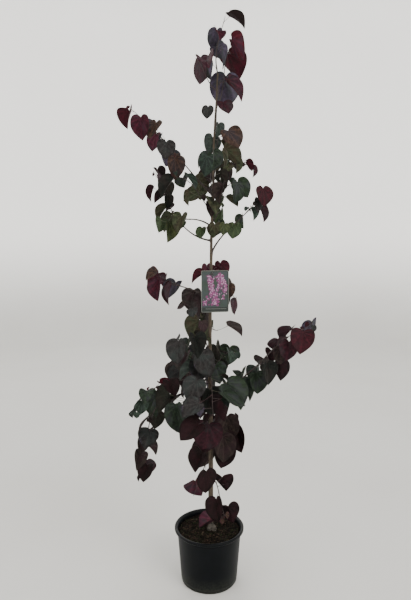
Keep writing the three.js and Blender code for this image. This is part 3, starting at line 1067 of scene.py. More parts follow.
SHOOTS = tuple(Shoot(*row) for row in (
    # name, foot, tip, rise, lift, bare, leaves, size, seed, tones
    ("leader", 1775, (51, 5, 1955), 105, 75, 0, 6, 63, 2494, "slate slate wine slate deep"),
    ("upper_left", 1376, (-250, -80, 1640), 42, 35, 0.34, 8, 69, 6379,
     "plum slate slate plum plum slate wine maroon"),
    ("left_mid", 1225, (-190, 110, 1465), 5, 70, 0.4, 10, 60, 280,
     "olive olive bronze forest deep forest burgundy deep"),
    ("right_upper", 1360, (130, 105, 1495), 60, -30, 0.4, 8, 52, 2115,
     "forest olive olive olive green maroon bronze burgundy"),
    ("right_arc", 1180, (175, -50, 1390), 67, 65, 0.52, 6, 54, 6501,
     "green jade burgundy slate wine maroon"),
    ("label_left", 1030, (-195, 65, 1115), 25, 40, 0.46, 6, 68, 4712,
     "burgundy slate wine plum plum wine"),
    ("lower_right", 715, (345, -85, 940), -7, 10, 0.52, 7, 72, 5,
     "deep bronze burgundy burgundy burgundy maroon slate"),
    ("lower_left", 775, (-245, 55, 390), 0, -90, 0.43, 11, 65, 9481,
     "green bronze forest slate bronze bronze bronze burgundy deep"),
    ("collar_front", 1415, (25, -150, 1485), 50, -45, 0, 4, 72, 9939, "forest jade olive green"),
    ("collar_right", 1425, (50, 35, 1575), 70, -15, 0, 4, 73, 9150, "jade olive jade plum"),
    ("centre_left", 1315, (-110, -80, 1425), 45, -15, 0, 6, 63, 4134,
     "bronze olive green green jade forest"),
    ("right_inner", 1285, (85, -25, 1415), 45, -5, 0, 6, 64, 6575,
     "lime olive olive bronze green green"),
    ("right_low", 1262, (85, -75, 1280), 40, 15, 0, 5, 49, 1720, "green olive green lime lime"),
    ("left_green", 1250, (-20, -60, 1265), 30, -20, 0, 3, 40, 9157, "olive lime lime"),
    ("label_back", 1075, (10, 110, 1130), 45, 35, 0, 6, 57, 7860, "maroon burgundy wine maroon"),
    ("label_under", 840, (-80, -70, 1015), 55, 20, 0, 6, 37, 2457,
     "olive forest bronze olive slate bronze"),
    ("label_right", 915, (30, 30, 910), 50, 15, 0, 2, 75, 2279, "olive bronze"),
    ("right_green", 770, (80, 55, 825), 25, -15, 0, 5, 69, 5609, "forest green forest jade green"),
    ("left_slate", 785, (-125, -90, 890), 25, -5, 0, 7, 79, 8209,
     "slate bronze slate green forest slate slate"),
    ("left_green_low", 725, (-105, -85, 675), 10, -10, 0, 5, 88, 8307,
     "forest deep bronze forest green"),
    ("front_low", 740, (10, -205, 680), 50, -55, 0, 8, 93, 8474,
     "forest jade green slate green slate deep deep"),
    ("under", 550, (45, 60, 485), 0, -50, 0, 5, 86, 9513, "burgundy bronze wine deep bronze"),
    ("foot_left", 435, (-55, -45, 335), 55, -50, 0, 2, 92, 6910, "deep plum"),
    ("foot_right", 370, (55, -45, 260), 30, -55, 0, 4, 69, 3584, "deep deep plum"),
    ("back_upper", 1310, (5, 185, 1480), 55, 30, 0.34, 7, 72, 3036,
     "olive bronze olive olive olive bronze bronze"),
    ("back_mid", 905, (-25, 125, 1040), 25, 10, 0, 5, 78, 26, "olive bronze bronze green bronze"),
    ("back_low", 630, (-100, 255, 775), 45, 30, 0.37, 8, 90, 576,
     "deep slate bronze bronze slate green bronze green"),
    ("back_foot", 570, (65, 105, 555), 40, -45, 0, 4, 93, 5799, "deep bronze deep deep"),
    ("label_side", 1090, (95, 35, 1015), 35, -55, 0, 3, 60, 7994, "bronze plum burgundy"),
    ("left_low_side", 735, (-245, -50, 650), 10, -75, 0.48, 6, 63, 3599,
     "deep wine green green jade jade"),
    ("left_hang", 1270, (-145, -15, 1280), 45, -20, 0.46, 4, 65, 4434, "olive lime lime lime"),
    ("crown_left", 1720, (-45, -20, 1815), 25, 40, 0, 2, 91, 8242, "wine burgundy"),
    ("crown_right", 1670, (70, 20, 1845), 45, -60, 0, 3, 104, 5620, "slate wine maroon"),
    ("crown_front", 1585, (30, -45, 1665), 35, -35, 0, 3, 47, 3030, "jade slate burgundy"),
    ("crown_side", 1680, (40, -20, 1745), 45, -35, 0, 1, 74, 3526, "plum"),
    ("lower_right_low", 690, (215, -10, 800), -20, -5, 0.35, 9, 78, 7570,
     "green green green jade forest bronze forest deep"),
    ("low_left", 620, (-40, -95, 520), 30, -55, 0, 3, 89, 3254, "burgundy jade deep"),
))

# where between its neighbours' places a leaf leaves the twig, as shares of the distance
LEAF_PLACE = (0.4, 0.95)
# what a leaf's pose is drawn from: angles in degrees, the rest in shares of its size
LEAF_DRAWS = {
    "spread": (-55, 55),
    "forward": (0, 0.8),
    "rise": (-0.2, 0.6),
    "stalk": (0.3, 0.7),
    "turn": (-60, 60),
    "droop": (25, 88),
    "roll": (-50, 50),
    "length": (0.72, 1.12),
    "fold": (5, 52),
    "curl": (0.02, 0.22),
}


class Draws:
    """A repeatable run of draws between two limits, from a whole-number seed."""

    def __init__(self, seed: int) -> None:
        """Starts the run."""
        self.state = seed * 7919 + 12345

    def __call__(self, limits: tuple[float, float]) -> float:
        """Draws the next number between the limits."""
        self.state = (self.state * 1664525 + 1013904223) % 2**32
        return limits[0] + (limits[1] - limits[0]) * self.state / 2**32


def trunk_centre(height: float) -> Array:
    """Gives the trunk's centre, easing from each place of its sway to the next.

    Args:
        height: The height.

    Returns:
        The centre there.
    """
    above = next(i for i, place in enumerate(SWAY) if place[2] >= height)
    low, high = np.array(SWAY[above - 1 : above + 1], float)
    share = (height - low[2]) / (high[2] - low[2])
    centre = low + (high - low) * share * share * (3 - 2 * share)
    centre[2] = height
    return centre


def trunk_radius(height: float) -> float:
    """Gives the trunk's radius, with its root flare.

    Args:
        height: The height.

    Returns:
        The radius there.
    """
    up = height - SIZES.soil_top
    rise = up / (SIZES.trunk_top - SIZES.soil_top)
    taper = SIZES.trunk_base_radius + (SIZES.trunk_top_radius - SIZES.trunk_base_radius) * rise
    return taper + SIZES.flare_radius * math.exp(-up / SIZES.flare_height)


class Arch:
    """The arching line of a shoot, from the trunk's centre to the shoot's tip."""

    def __init__(self, shoot: Shoot) -> None:
        """Works the line's four guide points out.

        Args:
            shoot: The shoot, with its sizes.
        """
        start, end = trunk_centre(shoot.foot), np.array(shoot.tip, float)
        out = unit((end - start) * (1, 1, 0))
        self.span = float(np.linalg.norm(end - start))
        pull = self.span * SIZES.pull
        first, second = tilted(out, shoot.rise) * pull, tilted(out, shoot.lift) * pull
        self.guides = (start, start + first, end - second, end)

    def point(self, share: float) -> Array:
        """Gives the place at a share of the line."""
        (a, b, c, d), rest = self.guides, 1 - share
        return a * rest**3 + 3 * b * rest**2 * share + 3 * c * rest * share**2 + d * share**3

    def along(self, share: float) -> Array:
        """Gives the line's direction at a share of it."""
        (a, b, c, d), rest = self.guides, 1 - share
        return unit((b - a) * rest**2 + 2 * (c - b) * rest * share + (d - c) * share**2)

    def side(self, share: float) -> Array:
        """Gives the level direction across the line at a share of it."""
        return unit(np.cross(self.along(share), UP))


@dataclass(frozen=True)
class Leaf:
    """One leaf: its share of the shoot's line, its stalk's two ends, and its pose.

    Across and midrib are the blade's directions to its right and to its tip. The fold is
    in radians, and the curl is how far the tip bends back, as a share of the length.
    """

    place: float
    node: Array
    joint: Array
    across: Array
    midrib: Array
    length: float
    fold: float
    curl: float
    tone: Tone

    @property
    def normal(self) -> Array:
        """Gives the direction that the blade's upper face looks in."""
        return np.cross(self.across, self.midrib)

    @property
    def tip(self) -> Array:
        """Gives the corner that the leaf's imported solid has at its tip."""
        return self.joint + self.midrib * self.length - self.normal * self.curl * self.length

    def rough(self) -> Shape:
        """Gives the blade as a fan of a few triangles, to test where it would lie.

        Returns:
            The corners and the faces.
        """
        half = [(0.2, -0.13), (0.5, 0.06), (0.47, 0.42), (0.18, 0.82)]
        flat = [(0, 0), *half, (0, 1), *[(-x, y) for x, y in half[::-1]], (0, 0.45)]
        points = []
        for x, y in flat:
            lift = abs(x) * math.sin(self.fold) - self.curl * y * y
            place = self.across * x * math.cos(self.fold) + self.midrib * y + self.normal * lift
            points.append(self.joint + place * self.length)
        last = len(points) - 1
        return np.array(points), [np.array([(last, i, (i + 1) % last) for i in range(last)])]


def grow_leaf(
    place: float, node: Array, along: Array, side: Array, size: float, draw: Draws, tone: Tone
) -> Leaf:
    """Grows one leaf, whose stalk leaves the twig on one side.

    Args:
        place: Its share of the shoot's line.
        node: Where its stalk leaves the twig.
        along: The twig's direction there.
        side: The level direction that the leaf grows out to.
        size: The leaf's typical length.
        draw: The shoot's run of draws.
        tone: The leaf's colours.

    Returns:
        The leaf.
    """
    drawn = {name: draw(limits) for name, limits in LEAF_DRAWS.items()}
    stalk = turned(side, UP, math.radians(drawn["spread"])) + along * drawn["forward"]
    stalk = unit(stalk + UP * drawn["rise"])
    joint = node + stalk * (size * drawn["stalk"])
    level = turned(unit(stalk * (1, 1, 0)), UP, math.radians(drawn["turn"]))
    midrib = tilted(level, -drawn["droop"])
    across = turned(np.cross(level, UP), midrib, math.radians(drawn["roll"]))
    fold = math.radians(drawn["fold"])
    length, curl = size * drawn["length"], drawn["curl"]
    return Leaf(place, node, joint, across, midrib, length, fold, curl, tone)


def grow_leaves(shoot: Shoot) -> list[Leaf]:
    """Grows the leaves of one shoot, in two ranks along the leafy part of its line.

    Args:
        shoot: The shoot.

    Returns:
        The leaves, from the foot on.
    """
    draw, line, first = Draws(shoot.seed), shoot.line, shoot.leafy_from
    leaves = []
    for i in range(shoot.leaves):
        place = first + (1 - first) * ((i + draw(LEAF_PLACE)) / shoot.leaves)
        side = line.side(place) * (1 if i % 2 else -1)
        node, along = line.point(place), line.along(place)
        leaves.append(grow_leaf(place, node, along, side, shoot.size, draw, shoot.tone(i)))
    return leaves


# ---- the leaf blade

# half of a blade's outline for a length of 1, from beside the notch round to the tip
HALF_OUTLINE = (
    *((0.045, -0.07), (0.13, -0.13), (0.25, -0.135), (0.4, -0.07), (0.51, 0.07), (0.545, 0.25)),
    *((0.525, 0.46), (0.425, 0.66), (0.265, 0.825), (0.11, 0.935), (0.0, 1.0)),
)


@lru_cache(maxsize=1)
def outline_reach() -> tuple[Array, Array]:
    """Gives how far a blade reaches from its notch.

    Returns:
        The angles from the midrib round, and the reach at each of them.
    """
    line = smooth_line(HALF_OUTLINE, 12)[::-1]
    angles = np.arctan2(line[:, 0], line[:, 1])
    return np.maximum.accumulate(angles), np.hypot(line[:, 0], line[:, 1])


class Blade:
    """The heart-shaped blade, laid flat for a length of 1, with raised veins.

    Rays run out from the notch, and the main veins lie on some of them. The mesh is a
    closed shell that thins towards its edge. Its attributes say how each corner moves
    when a leaf is folded, curled and waved, and where it lies between the veins.
    """

    vein_angles = np.radians([-147.0, -103, -64, -31, 0, 31, 64, 103, 147])
    thin = 0.0035
    fold_softness = 0.04
    tip_bend = 0.5
    tip_start = 0.72

    def __init__(self, spans: int, rings: int, side_veins: int, crease: float) -> None:
        """Lays the blade's corners out.

        Args:
            spans: How many rays lie between one vein and the next.
            rings: How many rings of corners lie round the notch.
            side_veins: How many pairs of veins leave the midrib.
            crease: How deep the veins sink, as a share of the length.
        """
        self.rings = rings
        self.crease = crease
        steps = np.arange((len(self.vein_angles) - 1) * spans + 1) / spans
        rays = np.interp(steps, np.arange(len(self.vein_angles)), self.vein_angles)[::-1]
        self.rays = len(rays)
        reach = np.interp(np.abs(rays), *outline_reach())
        shares = (np.arange(1, rings + 1) / rings) ** 0.92
        x = np.concatenate([[0.0], np.outer(np.sin(rays) * reach, shares).ravel()])
        y = np.concatenate([[0.0], np.outer(np.cos(rays) * reach, shares).ravel()])
        half = self.thin * (1.15 - np.concatenate([[0.2], np.tile(shares, self.rays)]))
        self.stock = Stock()
        self.add_shell(np.stack([x, y, half], axis=-1))
        for path in self.vein_paths(side_veins):
            self.add_vein(path)

    def add_shell(self, upper: Array) -> None:
        """Adds the upper side, the underside and the rim.

        Args:
            upper: The corners of the upper side.
        """
        count = len(upper)
        ray = 1 + self.rings * np.arange(self.rays)
        fan = np.stack([np.zeros(self.rays - 1, int), ray[:-1], ray[1:]], axis=-1)
        inner = ray[:-1, None] + np.arange(self.rings - 1)
        outer = ray[1:, None] + np.arange(self.rings - 1)
        quads = np.stack([inner, inner + 1, outer + 1, outer], axis=-1).reshape(-1, 4)
        down = np.arange(self.rings)
        tips = ray[1:-1] + self.rings - 1
        border = np.concatenate([[0], ray[0] + down, tips, ray[-1] + down[::-1], [0]])
        here, after = border[:-1], border[1:]
        rim = np.stack([after, here, here + count, after + count], axis=-1)
        faces = [fan, quads, rim, fan[:, ::-1] + count, quads[:, ::-1] + count]
        slots = [Side.UPPER] * 3 + [Side.UNDERSIDE] * 2
        self.stock.add(np.concatenate([upper, upper * (1, 1, -1)]), faces, slots)

    def vein_paths(self, side_veins: int) -> list[Array]:
        """Gives the veins as lines in the flat blade.

        Args:
            side_veins: How many pairs of veins leave the midrib.

        Returns:
            Rows of x, y and the vein's thickness for each vein.
        """
        paths = []
        for angle in self.vein_angles[1:-1]:
            reach = float(np.interp(abs(angle), *outline_reach()))
            shares = np.linspace(0.01, 0.93, 9)
            bent = angle - 0.1 * shares**2 * np.sign(angle)
            thick = (1.0 if angle == 0 else 0.75) * (1.05 - shares)
            flat = (np.sin(bent) * reach * shares, np.cos(bent) * reach * shares, thick)
            paths.append(np.stack(flat, axis=-1))
        shares = np.linspace(0, 1, 5)
        for i in range(side_veins):
            start = 0.22 + 0.5 * i / side_veins
            reach = 0.23 * (1.15 - start)
            for side in (-1, 1):
                y = start + 0.06 * (side > 0) + reach * shares * (0.85 + 0.25 * shares)
                paths.append(np.stack([side * reach * shares, y, 0.42 * (1.1 - shares)], axis=-1))
        return paths

    def add_vein(self, path: Array) -> None:
        """Adds one vein, as a ridge that stands out of both sides.

        Args:
            path: Rows of x, y and thickness.
        """
        line = path * (1, 1, 0)
        side = np.cross(UP, unit(np.gradient(line, axis=0)))
        thick = path[:, 2:3]
        wide, over, below = 0.0017 + 0.0065 * thick, 0.0035 + 0.0022 * thick, 0.004 + 0.008 * thick
        rings = [line - UP * below, line + side * wide, line + UP * over, line - side * wide]
        self.stock.add(*shell(np.stack(rings, axis=1), line[0], line[-1]), Side.VEIN)

    def build(self, name: str) -> Object:
        """Makes the flat blade, with what its corners need to know as attributes.

        Args:
            name: The object's name.

        Returns:
            The object, which isn't in the scene yet.
        """
        points = np.concatenate(self.stock.points)
        x, y = points[:, 0], points[:, 1]
        angle = np.arctan2(x, y)
        share = np.clip(np.hypot(x, y) / np.interp(np.abs(angle), *outline_reach()), 0, 1)
        between = np.interp(angle, self.vein_angles, np.arange(len(self.vein_angles))) % 1.0
        bulge = np.sin(math.pi * between) * np.clip(np.sin(math.pi * share**0.8), 0, 1) ** 0.7
        bend = self.tip_bend * np.clip(y - self.tip_start, 0, 1) ** 2
        mesh = self.stock.mesh(name, 1.0)
        marked(
            mesh,
            valley=np.hypot(x, self.fold_softness) - self.fold_softness,
            relief=self.crease * bulge - bend,
            angle=angle,
            rim=share**4,
            vein=np.abs(np.cos(math.pi * between)),
        )
        marked(mesh, "FACE", side=np.concatenate(self.stock.slots))
        return bpy.data.objects.new(name, mesh)


# ---- the plant


class Room:
    """What stands round a new leaf, so that it touches nothing."""

    near = 0.3

    def __init__(self, frame: dict[str, Any]) -> None:
        """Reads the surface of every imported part.

        Args:
            frame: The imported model.
        """
        self.trees: list[BVHTree] = []
        self.corners: dict[str, Array] = {}
        for name, node in frame["nodes"].items():
            self.corners[name] = corners(node.data)
            sides = np.array([face.vertices[:] for face in node.data.polygons])
            self.take(self.corners[name], [sides])

    def take(self, points: Array, faces: Faces) -> None:
        """Takes up a shape as one that later ones have to miss."""
        self.trees.append(BVHTree.FromPolygons(points.tolist(), plain(faces)))

    def bears(self, part: str, place: Array) -> bool:
        """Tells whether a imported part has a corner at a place."""
        return bool((np.abs(self.corners[part] - place).max(axis=1) < self.near).any())

    def is_clear(self, points: Array, faces: Faces) -> bool:
        """Tells whether a shape crosses nothing that is there already."""
        tree = BVHTree.FromPolygons(points.tolist(), plain(faces))
        return not any(tree.overlap(other) for other in self.trees)


def bark_place(sides: int, along: Array, radius: float, slope: float) -> Array:
    """Gives each ring corner's place in the bark's pattern, which is stretched lengthwise."""
    return circle(sides) * radius + (along / slope)[:, None, None] * UP


@dataclass
class Bark:
    """The trunk and the bare boughs, with the relief of young bark.

    The trunk swells over its three roots and where a shoot leaves it. Its foot is sunk
    into the loose top of the compost.
    """

    scatter: Scatter
    sides: int = 40
    step: float = 4.0
    relief: float = 0.28
    swelling: float = 1.5
    swelling_reach: float = 7.0
    sunk: float = 5.0
    buttress: float = 1.3
    buttress_rise: float = 16.0

    def build(self) -> None:
        """Makes the bark piece and its pores."""
        stock = Stock()
        stock.add(*self.trunk())
        long_ones = [shoot for shoot in SHOOTS if shoot.bare > 0]
        for shoot in long_ones:
            stock.add(*self.bough(shoot), 1)
        bark = stock.piece("bark", TRUNK_BARK, BOUGH_BARK)
        declare(bark, "bark", "trunk", *[f"bough_{shoot.name}" for shoot in long_ones])
        host = shown(bpy.data.objects.new("bark_pores", bark.data.copy()))
        pore = lump("pore", (0.55, 0.8, 0.34), 0.12, 3)
        dealt = {"Density": 5200.0, "Smallest": 0.6, "Largest": 1.15, "Tilt": 0.1, "Seed": 11}
        declare(self.scatter.run(Way.OVER, host, [pore], Material=PORE_CORK, **dealt), "bark")

    def trunk(self) -> Shape:
        """Makes the trunk, from inside the compost to its top.

        Returns:
            The corners and the faces.
        """
        bottom = SIZES.soil_top - self.sunk
        heights = np.arange(bottom, SIZES.trunk_top + self.step / 2, self.step)
        centres = np.array([trunk_centre(height) for height in heights])
        radii = np.array([trunk_radius(max(height, SIZES.soil_top)) for height in heights])
        compass = 2 * math.pi * np.arange(self.sides)[None] / self.sides
        where = bark_place(self.sides, heights, 10, 5)
        furrows = ripple(where, 5.0, 21) + 0.5 * ripple(where, 2.2, 22)
        rings = radii[:, None] + self.relief * furrows
        rise = np.maximum(heights - SIZES.soil_top, 0)[:, None]
        roots = np.cos(3 * compass + 0.7) * np.exp(-rise / self.buttress_rise)
        rings = rings + self.buttress * roots
        for shoot in SHOOTS:
            reach = np.exp(-(((heights - shoot.foot) / self.swelling_reach) ** 2))[:, None]
            x, y = np.array(shoot.tip[:2]) - trunk_centre(shoot.foot)[:2]
            facing = np.clip(np.cos(compass - math.atan2(y, x)), 0, 1)
            rings = rings + self.swelling * reach * facing**2 * (0.4 if shoot.is_leader else 1)
        spokes = rings[:, :, None] * circle(self.sides)
        return shell(centres[:, None] + spokes, centres[0], centres[-1])

    def bough(self, shoot: Shoot) -> Shape:
        """Makes the bare foot of a long shoot, with a collar at the trunk.

        Args:
            shoot: The shoot.

        Returns:
            The corners and the faces.
        """
        line = shoot.line
        count = max(24, round(line.span * shoot.bare / 2.0))
        centres = np.array([line.point(share) for share in np.linspace(0, shoot.bare, count)])
        radii = np.linspace(SIZES.bough_radius, SIZES.stem_radius, count)
        return limb(centres, radii, trunk_radius(shoot.foot), 16, shoot.seed, self.relief)


def limb(
    centres: Array, radii: Array, inside: float, sides: int, seed: int, relief: float
) -> Shape:
    """Makes a limb that widens into a collar where it leaves the trunk.

    Args:
        centres: Its line, from the trunk's centre.
        radii: Its radius along the line.
        inside: The trunk's radius there.
        sides: How many corners a ring has.
        seed: Which bark pattern it gets.
        relief: How deep the pattern is.

    Returns:
        The corners and the faces.
    """
    walked = np.concatenate([[0], np.cumsum(np.linalg.norm(np.diff(centres, axis=0), axis=1))])
    collar = 1 + 0.55 * np.exp(-np.maximum(walked - inside, 0) / 5.0)
    where = bark_place(sides, walked, 6, 2)
    rings = (radii * collar)[:, None] + relief * 0.6 * ripple(where, 5.0, seed)
    return tube(centres, rings, sides)


@dataclass
class Foliage:
    """Every spray: its twig, buds, stalks and leaves, and the finer growth between them.

    A twig swings aside at each of its leaves, and its knot there is so much thicker.
    Sprays with few leaves bear no young ones. A young leaf's size and stalk are shares
    of a grown one's, its twiglet's length is a share of its own, and it may lie outside
    its spray's box by no more than the slack.
    """

    scatter: Scatter
    zigzag: float = 0.8
    knot: float = 0.35
    young_size: tuple[float, float] = (0.26, 0.46)
    slack: float = 6.0
    fewest: int = 4
    young_stalk: float = 0.62
    young_seed: int = 70000
    twiglet: tuple[float, float] = (0.5, 1.3)
    leaves: list[tuple[Leaf, Age]] = field(default_factory=list)
    buds: list[tuple[Array, Array, float]] = field(default_factory=list)
    stalks: Stock = field(default_factory=Stock)
    twigs: Stock = field(default_factory=Stock)

    def build(self, frame: dict[str, Any]) -> None:
        """Grows every spray and makes the pieces.

        Args:
            frame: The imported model.
        """
        room = Room(frame)
        sprays = []
        for shoot in SHOOTS:
            part = f"foliage_{shoot.name}"
            borne = [leaf for leaf in grow_leaves(shoot) if room.bears(part, leaf.tip)]
            sprays.append((shoot, borne))
            self.grow_spray(shoot, borne)
            log.info("%s: %d of %d leaves", shoot.name, len(borne), shoot.leaves)
        for shoot, borne in sprays:
            if shoot.leaves >= self.fewest and not shoot.is_leader:
                self.grow_young(shoot, borne, room)
        masses = [f"foliage_{shoot.name}" for shoot in SHOOTS]
        declare(self.twigs.piece("twigs", SHOOT_BARK), "bark", *masses)
        declare(self.stalks.piece("leaf_stalks", RED_STALK, GREEN_STALK), "foliage")
        grown_blade = Blade(5, 12, 4, 0.02).build("blade_grown")
        blades = [grown_blade, Blade(2, 6, 2, 0.03).build("blade_young")]
        for tone in Tone:
            alike = [(leaf, kind) for leaf, kind in self.leaves if leaf.tone is tone]
            if alike:
                name = f"leaves_{tone.name.lower()}"
                declare(self.scatter.unfold(name, alike, blades, tone.value), "foliage")
        self.set_buds()

    def aside(self, shoot: Shoot, leaves: Sequence[Leaf], share: float) -> Array:
        """Gives how far the twig swings aside at a share of its line.

        Args:
            shoot: The spray's shoot.
            leaves: The leaves that it bears.
            share: The share of the line.

        Returns:
            The step aside.
        """
        if not leaves:
            return np.zeros(3)
        places = [shoot.leafy_from, *[leaf.place for leaf in leaves], 1.0]
        signs = [0, *[1.0 if i % 2 else -1.0 for i in range(len(leaves))], 0]
        return shoot.line.side(share) * float(np.interp(share, places, signs)) * self.zigzag

    def grow_spray(self, shoot: Shoot, leaves: Sequence[Leaf]) -> None:
        """Makes one spray's twig, stalks and leaves.

        Args:
            shoot: The spray's shoot.
            leaves: The leaves that it bears.
        """
        start, line = shoot.bare, shoot.line
        shares = np.linspace(start, 1, max(30, round(line.span * (1 - start) / 3.5)))
        steps = [line.point(share) + self.aside(shoot, leaves, share) for share in shares]
        thick = SIZES.trunk_top_radius if shoot.is_leader else SIZES.stem_radius
        radii = thick + (SIZES.tip_radius - thick) * (shares - start) / (1 - start)
        for leaf in leaves:
            near = (shares - leaf.place) * line.span / 3.0
            radii = radii * (1 + self.knot * np.exp(-near * near))
        inside = trunk_radius(shoot.foot) if start == 0 and not shoot.is_leader else -1e3
        self.twigs.add(*limb(np.array(steps), radii, inside, 8, shoot.seed, 0.1))
        for leaf in leaves:
            foot = leaf.node + self.aside(shoot, leaves, leaf.place)
            along = line.along(leaf.place)
            side = unit(leaf.joint - leaf.node)
            self.leaves.append((leaf, Age.GROWN))
            self.add_stalk(foot, leaf, 1.0)
            self.buds.append((foot + side * 1.2 + along * 2.4, unit(side + along * 1.6), 1.0))
        self.buds.append((line.point(1.0), line.along(1.0), 1.1))

    def add_stalk(self, foot: Array, leaf: Leaf, scale: float) -> None:
        """Adds a leaf's stalk, with the swollen joints that redbud stalks have at both ends.

        Args:
            foot: Where it leaves the twig.
            leaf: The leaf.
            scale: How thick it is, as a share of a grown leaf's stalk.
        """
        end = leaf.joint + leaf.midrib * leaf.length * 0.02
        shares = np.array([0, 0.04, 0.1, 0.2, 0.35, 0.5, 0.65, 0.8, 0.9, 0.95, 1.0])
        radii = np.array([1.35, 1.15, 0.8, 0.66, 0.62, 0.6, 0.6, 0.66, 0.92, 1.02, 0.7]) * scale
        drop = -0.035 * float(np.linalg.norm(end - foot))
        sag = np.sin(math.pi * shares)[:, None] * UP * drop
        is_green = leaf.tone in (Tone.OLIVE, Tone.LIME, Tone.GREEN, Tone.FOREST)
        centres = foot + (end - foot) * shares[:, None] + sag
        self.stalks.add(*tube(centres, radii, 7), int(is_green))

    def grow_young(self, shoot: Shoot, leaves: Sequence[Leaf], room: Room) -> None:
        """Grows the fine twiglets and young leaves of one spray, where there is room.

        Args:
            shoot: The spray's shoot.
            leaves: The leaves that it bears already.
            room: What the new growth has to miss.
        """
        draw, line = Draws(shoot.seed + self.young_seed), shoot.line
        low, high = (np.array(corner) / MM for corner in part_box(f"foliage_{shoot.name}"))
        places = [leaf.place for leaf in leaves]
        gaps = [(a + b) / 2 for a, b in zip(places, [*places[1:], 1.0])]
        for i, place in enumerate([*gaps, 1.0, 1.0]):
            at_tip = i >= len(gaps)
            along = line.along(place)
            side = line.side(place) * (1 if i % 2 else -1)
            size = shoot.size * draw(self.young_size) * (1.0 if at_tip else 0.9)
            foot = line.point(place) + self.aside(shoot, leaves, place)
            length = 0.0 if at_tip else size * draw(self.twiglet)
            out = unit(side * 1.1 + along * draw((0.6, 1.6)) + UP * draw((0.0, 0.8)))
            node = foot + out * length
            tone = shoot.tone(shoot.leaves - 1 if at_tip else i % shoot.leaves)
            leaf = grow_leaf(place, node, unit(along + out), side, size, draw, tone)
            blade = leaf.rough()
            reach = np.concatenate([blade[0], [foot]])
            inside = (reach > low - self.slack).all() and (reach < high + self.slack).all()
            if not inside or not room.is_clear(*blade) or not self.clears(room, foot, leaf):
                continue
            room.take(*blade)
            self.leaves.append((leaf, Age.YOUNG))
            self.add_stalk(node, leaf, self.young_stalk)
            if length:
                shares = np.linspace(0, 1, 7)[:, None]
                centres = foot + (node - foot) * shares + UP * np.sin(math.pi * shares) * -0.6
                self.twigs.add(*tube(centres, np.linspace(0.95, 0.6, 7), 6))
            self.buds.append((node + out * 1.2, out, 0.75))

    @staticmethod
    def clears(room: Room, foot: Array, leaf: Leaf) -> bool:
        """Tells whether a young leaf's twiglet and stalk miss everything past their foot."""
        line = foot + np.outer((0.25, 0.625, 1.0), leaf.joint - foot)
        return room.is_clear(*tube(line, np.full(3, 0.7), 3))

    def set_buds(self) -> None:
        """Sets a scaly bud above each stalk and at each tip: a pointed egg in rows of scales."""
        shares = np.linspace(0, 1, 8)
        swell = np.sin(math.pi * np.clip(shares, 0.04, 0.985)) ** 0.75
        radii = 0.95 * swell * (1.15 - 0.5 * shares)
        scales = np.where((np.arange(8) % 3) == 1, 1.12, 1.0)
        bud = formed("bud", *tube(np.outer(shares * 3.4 - 0.4, UP), radii * scales, 6))
        bud.data.shade_smooth()
        places, outs, sizes = zip(*self.buds)
        turns = [tuple(Vector(out).to_track_quat("Z", "X").to_euler()) for out in outs]
        host = marked_points("buds", np.array(places) * MM, turn=turns, size=sizes)
        declare(self.scatter.run(Way.ON, host, [bud], Material=BUD_SCALE), "bark")


# ---- the pot and the compost


def turned_shell(profile: Array, facets: int) -> Shape:
    """Turns rows of radius and height round Z. The first and the last lie on the axis."""
    rings = profile[1:-1, 0, None, None] * circle(facets) + profile[1:-1, 1, None, None] * UP
    return shell(rings, UP * profile[0, 1], UP * profile[-1, 1])


@dataclass
class Pot:
    """The nursery pot: a tapering wall under a rolled rim, with a moulded step at its foot.

    The neck is the wall's top, just under the rim, and the wall stands out over the step.
    """

    facets: int = 144
    height: float = 199.0
    base_radius: float = 100.0
    neck_radius: float = 115.0
    rim_radius: float = 125.0
    rim_depth: float = 10.0
    roll_radius: float = 3.4
    wall: float = 2.0
    foot_step: float = 14.0
    step_depth: float = 0.75

    def radius(self, height: float) -> float:
        """Gives the wall's outer radius at a height."""
        neck = self.height - self.rim_depth
        return self.base_radius + (self.neck_radius - self.base_radius) * height / neck

    def build(self) -> None:
        """Makes the pot by turning its profile."""
        base, throat, rim = self.base_radius, self.neck_radius, self.rim_radius
        neck, top = self.height - self.rim_depth, self.height
        step, out = self.foot_step, self.step_depth
        edge = ((-22, 0.8), (-19, 0.0), (-5, 0.0), (-2.2, 0.5), (-0.8, 2.0))
        foot = [(base + x, z) for x, z in edge]
        flush = self.radius(step)
        ledge = [(self.radius(4), 4.0), (flush - 0.1, step), (flush + out, step + 0.8)]
        wall = [(self.radius(z) + out - out * z / neck, z) for z in np.linspace(20, neck - 4, 24)]
        under = [(throat + 0.3, neck - 1.2), (throat + 1.4, neck + 1.2)]
        lip = [(rim + x, neck + z) for x, z in ((-4.2, 1.0), (-1.5, 0.2), (-0.3, 1.6))]
        turns = np.radians(np.linspace(-20, 100, 9))
        roll = np.stack([np.cos(turns), np.sin(turns)], axis=-1) - 1
        roll = roll * self.roll_radius + (rim, top)
        over = [(throat + x, top - z) for x, z in ((3.0, 0.6), (0.6, 2.0), (-self.wall, 4.6))]
        inner = [(self.radius(z) - self.wall, z) for z in np.linspace(neck - 6, 4, 16)]
        floor = [(base - 8, 3.0), (0, 3.0)]
        profile = [(0, 0.8), *foot, *ledge, *wall, *under, *lip, *roll, *over, *inner, *floor]
        stock = Stock()
        stock.add(*turned_shell(np.array(profile, float), self.facets))
        declare(stock.piece("pot_shell", POT_PLASTIC), "pot", "pot")


